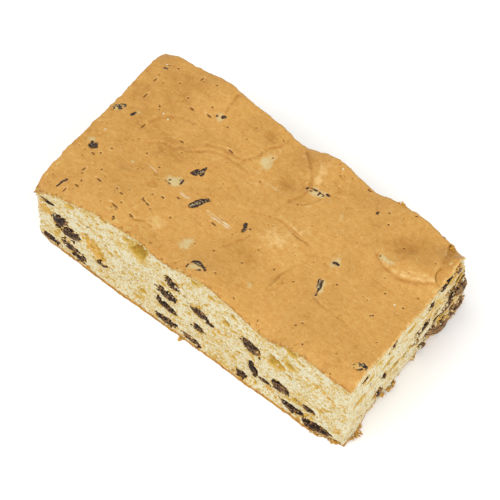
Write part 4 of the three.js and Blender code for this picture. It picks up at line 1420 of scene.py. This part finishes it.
def rest_on_floor(bm):
    """Flattens what would dip under the floor."""
    for vert in bm.verts:
        vert.co.z = max(vert.co.z, FLOOR_GAP * MM)


def sultana_shape(ridge_layer, stuck_layer, number, size_mm, flat, brown):
    """The wrinkles, uneven outline and flattened cut side of one sultana."""
    _, thickness, depth = size_mm
    shift = np.array([17.3, 5.1, 9.7]) * number

    def shape(ball, spots):
        lobes = noise(ball + shift, 0.55, 61)
        spots = spots * (1 + 0.26 * lobes)[:, None]
        spots[:, 1] += 0.07 * thickness * np.sin(ball[:, 0] * 5 + number)
        warp = 0.6 * noise(spots + shift, 2.0, 62)
        grain = np.stack((spots[:, 0] / 2.6, spots[:, 1] + warp, spots[:, 2] + warp), axis=-1)
        grain = grain + shift
        ridges = 0.65 * ridged(grain, 1.15, 63) + 0.35 * ridged(grain, 0.6, 64)
        spots = spots + ball * 2 * 0.26 * ridges[:, None]
        level = depth / 2 - flat
        high = spots[:, 2] - level
        rough = 0.22 * ridges + 0.15 * noise(grain, 0.9, 65)
        pressed = level + 0.3 * high + rough * (1 - fade(high, 0.0, 0.3))
        spots[:, 2] = np.where(high > 0, pressed, spots[:, 2])
        stuck = 0.5 + 0.5 * noise(grain, 1.7, 66)
        # painted highlight on the wrinkle crests, with brown added for proud sultanas
        return spots, {ridge_layer: 0.5 + 0.5 * ridges + brown, stuck_layer: stuck}

    return shape


def sultana_level(cut, length, thickness):
    """How finely a sultana's ball is divided."""
    if cut not in SHOWN:
        return HIDDEN_LEVEL
    return BIG_LEVEL if length * thickness > BIG_SULTANA else SMALL_LEVEL


def build_sultanas():
    """Every sultana that shows at a cut."""
    bm = bmesh.new()
    ridge_sheen_and_brown, stuck = (bm.verts.layers.float.new(name) for name in SULTANA_LAYERS)
    by_level = {HIDDEN_LEVEL: [], SMALL_LEVEL: [], BIG_LEVEL: []}
    for cut in CUTS:
        for row in sultana_rows(cut):
            by_level[sultana_level(cut, row[2], row[3])].append((cut, *row))
    for level, rows in by_level.items():
        for number, (verts, row) in enumerate(zip(balls(bm, level, len(rows)), rows)):
            cut, along, up, length, thickness, turn, proud = row
            flat = 0.9 if proud < 0.9 else 0.35
            brown = 0.0 if proud < PROUD_SULTANA else 0.3
            place, side, rise, out = cut_frame(cut, along, up)
            place = place - out * (SULTANA_DEPTH / 2 - flat - proud)
            size_mm = (length, thickness, SULTANA_DEPTH)
            shape = sultana_shape(ridge_sheen_and_brown, stuck, 40 * level + number, size_mm, flat, brown)
            shape_lump(verts, (place, side, rise, out), size_mm, turn, shape)
    rest_on_floor(bm)
    finish_piece(bm, "sultanas", sultana_material())


def add_bits(bm, layer, draw, bits):
    """Adds small crumbs: cut, along, up, reach out of the cut, size, toast."""
    for number, (verts, bit) in enumerate(zip(balls(bm, 2, len(bits)), bits)):
        cut, along, up, reach, size_mm, toast = bit
        place, side, rise, out = cut_frame(cut, along, up)
        shift = np.array([3.1, 7.7, 1.3]) * number

        def shape(ball, spots):
            lobes = 0.6 * noise(ball + shift, 0.5, 81)
            return spots * (1 + lobes)[:, None], {layer: np.full(len(ball), toast)}

        longer, thinner, turn = drawn(draw, (0.8, 1.7), (0.5, 1), (0, 180))
        shape_lump(verts, (place + out * reach, side, rise, out),
                   (size_mm * longer, size_mm * thinner, size_mm), turn, shape)


def add_flake(bm, layer, cut, along, run, reach, up, thick, number):
    """Adds one torn flake of the base: a ragged plate that sticks out of a cut and droops."""
    place, side, rise, out = cut_frame(cut, along, up)
    sheet = bmesh.ops.create_grid(bm, x_segments=34, y_segments=14, size=0.5)["verts"]
    shares = np.array([vert.co[:] for vert in sheet])
    a, c = shares[:, 0] * 2, shares[:, 1] + 0.5
    points = np.stack((a * run / 2, c * reach, np.full(len(a), 9.0 * number)), axis=-1)
    rim_points = points * (1, 0, 1)
    outline = 0.9 * (1 - np.abs(a) ** 2.2) ** 0.6
    outline += 0.35 * noise(rim_points, 1.5, 91) + 0.35 * noise(rim_points, 0.6, 92)
    far = (reach + FLAKE_ROOT) * c * np.clip(outline, 0.15, 1.35) - FLAKE_ROOT
    height = 0.55 * layered_noise(points, 1.3, 93) - 0.25 * c**2 * min(up, 1.6)
    sway = a * run / 2 + 0.4 * noise(points, 1.0, 95)
    toast = 0.7 + 0.4 * noise(points, 1.2, 94)
    for index, vert in enumerate(sheet):
        vert.co = (place + side * sway[index] + out * far[index] + rise * height[index]) * MM
        vert[layer] = float(toast[index])
    faces = list({face for vert in sheet for face in vert.link_faces})
    bmesh.ops.solidify(bm, geom=faces, thickness=thick * MM)


def build_flakes():
    """Torn flakes of the base and loose crumbs that cling to the cuts."""
    bm = bmesh.new()
    layer = bm.verts.layers.float.new("toast")
    draw = random.Random(FLAKE_SEED)
    bits = []
    for cut, along, run, reach, up, _ in FLAKES:
        for _ in range(int(run * 4)):
            share, far, lift, size_mm, toast = drawn(
                draw, (-1, 1), (-0.3, reach), (-0.4, 0.5), (0.4, 1.1), (0.3, 1))
            far *= math.sqrt(1 - share * share)
            bits.append((cut, along + share * run / 2, up + lift, far, size_mm, toast))
    for along, up, length, thickness, _, proud in RIGHT_SULTANAS:
        for _ in range(int(6 + 8 * proud)):
            angle, far, *rest = drawn(
                draw, (0, math.tau), (0.8, 1.15), (0, 0.6 * proud), (0.5, 1.4), (0.1, 0.8))
            bits.append(("right", along + far * length / 2 * math.cos(angle),
                         max(0.8, up + far * thickness / 2 * math.sin(angle)), *rest))
    for _ in range(LOOSE_CRUMBS):
        cut = draw.choices(tuple(CUTS), LOOSE_WEIGHTS)[0]
        half = CUTS[cut][0]
        up = 0.8 + 33 * draw.random() ** 1.8
        along, far, size_mm, toast = drawn(
            draw, (-half + 1, half - 1), (-0.3, 0.25), (0.4, 1.1), (0, 0.4))
        bits.append((cut, along, up, far, size_mm, toast + 0.5 * (up < 3)))
    add_bits(bm, layer, draw, bits)
    for number, flake in enumerate(FLAKES):
        add_flake(bm, layer, *flake, number)
    rest_on_floor(bm)
    finish_piece(bm, "crumb_flakes", flake_material())


# ------------------------------------------------------------------ stage

CAMERA_PLACE = (427.65, -540.29, 1235.72)  # mm, solved from the slab's corners in the photo
CAMERA_AZIMUTH = 38.47
CAMERA_ELEVATION = 60.5
CAMERA_LENS = 216.0
SENSOR = 36.0
# Lamps: name, azimuth, elevation, distance and width in metres, power in watts.
LAMPS = (
    ("key", -42, 60, 1.6, 1.8, 12.9),
    ("side", 68, 34, 1.6, 0.9, 10.3),
)
SKY_STRENGTH = 0.81
FLOOR_HALF = 3.0  # metres
FLOOR_COLOUR = (0.96, 0.96, 0.96)


def view_turn(azimuth, elevation):
    """Rotation of a camera or lamp that looks at the slab from an azimuth and elevation."""
    a, e = math.radians(azimuth), math.radians(elevation)
    back = Vector((math.sin(a) * math.cos(e), -math.cos(a) * math.cos(e), math.sin(e)))
    return back, back.to_track_quat("Z", "Y").to_matrix().to_4x4()


def make_camera():
    """The photo's camera."""
    data = bpy.data.cameras.new("camera")
    data.lens = CAMERA_LENS
    data.sensor_width = SENSOR
    data.clip_start = 0.05
    data.clip_end = 20.0
    camera = add_object("camera", data)
    _, turn = view_turn(CAMERA_AZIMUTH, CAMERA_ELEVATION)
    camera.matrix_world = Matrix.Translation(Vector(CAMERA_PLACE) * MM) @ turn
    bpy.context.scene.camera = camera


def make_lamp(name, azimuth, elevation, distance, width, power):
    """A round soft lamp that looks at the slab."""
    data = bpy.data.lights.new(name, "AREA")
    data.shape = "DISK"
    data.size = width
    data.energy = power
    back, turn = view_turn(azimuth, elevation)
    add_object(name, data).matrix_world = Matrix.Translation(back * distance) @ turn


def make_floor():
    """A wide pale floor."""
    bm = bmesh.new()
    bmesh.ops.create_grid(bm, x_segments=1, y_segments=1, size=FLOOR_HALF)
    mesh = bpy.data.meshes.new("floor")
    bm.to_mesh(mesh)
    bm.free()
    m = Shader("pale floor")
    mesh.materials.append(m.surface(FLOOR_COLOUR, 0.9, m.noise(40, 1.0), depth=0.02, specular=0.1))
    add_object("floor", mesh)


def make_world():
    """An even white sky."""
    world = bpy.data.worlds.new("studio")
    world.use_nodes = True
    background = world.node_tree.nodes["Background"]
    background.inputs["Color"].default_value = (1.0, 1.0, 1.0, 1.0)
    background.inputs["Strength"].default_value = SKY_STRENGTH
    bpy.context.scene.world = world
    bpy.context.scene.view_settings.view_transform = "Standard"


# ------------------------------------------------------------------ operators and panel


class CAKE_OT_stage(bpy.types.Operator):
    """Adds the camera, the pale floor and the soft studio light"""

    bl_idname = "cake.stage"
    bl_label = "Stage"

    def execute(self, context):
        make_camera()
        make_world()
        make_floor()
        for lamp in LAMPS:
            make_lamp(*lamp)
        return {"FINISHED"}


class CAKE_OT_skin(bpy.types.Operator):
    """Adds the baked skin on top"""

    bl_idname = "cake.skin"
    bl_label = "Baked skin"

    def execute(self, context):
        build_skin()
        return {"FINISHED"}


class CAKE_OT_crumb(bpy.types.Operator):
    """Adds the crumb that shows at the cuts"""

    bl_idname = "cake.crumb"
    bl_label = "Crumb"

    def execute(self, context):
        for cut in CUTS:
            build_crumb(cut)
        return {"FINISHED"}


class CAKE_OT_base(bpy.types.Operator):
    """Adds the thin brown base"""

    bl_idname = "cake.base"
    bl_label = "Brown base"

    def execute(self, context):
        build_base()
        return {"FINISHED"}


class CAKE_OT_sultanas(bpy.types.Operator):
    """Adds the sultanas that show at the cuts"""

    bl_idname = "cake.sultanas"
    bl_label = "Sultanas"

    def execute(self, context):
        build_sultanas()
        return {"FINISHED"}


class CAKE_OT_flakes(bpy.types.Operator):
    """Adds torn flakes of the base and clinging crumbs"""

    bl_idname = "cake.flakes"
    bl_label = "Flakes and crumbs"

    def execute(self, context):
        build_flakes()
        return {"FINISHED"}


OPERATORS = (
    CAKE_OT_stage, CAKE_OT_skin, CAKE_OT_crumb, CAKE_OT_base, CAKE_OT_sultanas, CAKE_OT_flakes)


class CAKE_PT_panel(bpy.types.Panel):
    """Lists the cake's pieces and settings"""

    bl_idname = "CAKE_PT_panel"
    bl_label = "Sultana cake"
    bl_space_type = "VIEW_3D"
    bl_region_type = "UI"
    bl_category = "Cake"

    def draw(self, context):
        for operator in OPERATORS:
            self.layout.operator(operator.bl_idname)
        for group in (context.scene.cake_sizes, context.scene.cake_colours):
            box = self.layout.box()
            for name in group.__annotations__:
                box.prop(group, name)


CLASSES = (CakeSizes, CakeColours, *OPERATORS, CAKE_PT_panel)


def register():
    """Adds the panel, its operators and the cake's settings."""
    for cls in CLASSES:
        bpy.utils.register_class(cls)
    bpy.types.Scene.cake_sizes = bpy.props.PointerProperty(type=CakeSizes)
    bpy.types.Scene.cake_colours = bpy.props.PointerProperty(type=CakeColours)


def unregister():
    """Takes them away again."""
    del bpy.types.Scene.cake_colours
    del bpy.types.Scene.cake_sizes
    for cls in reversed(CLASSES):
        bpy.utils.unregister_class(cls)


def main():
    """Builds the stage and the cake's pieces."""
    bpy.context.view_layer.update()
    register()
    bpy.ops.cake.stage()
    bpy.ops.cake.skin()
    bpy.ops.cake.crumb()
    bpy.ops.cake.base()
    bpy.ops.cake.sultanas()
    bpy.ops.cake.flakes()


if __name__ == "__main__":
    main()
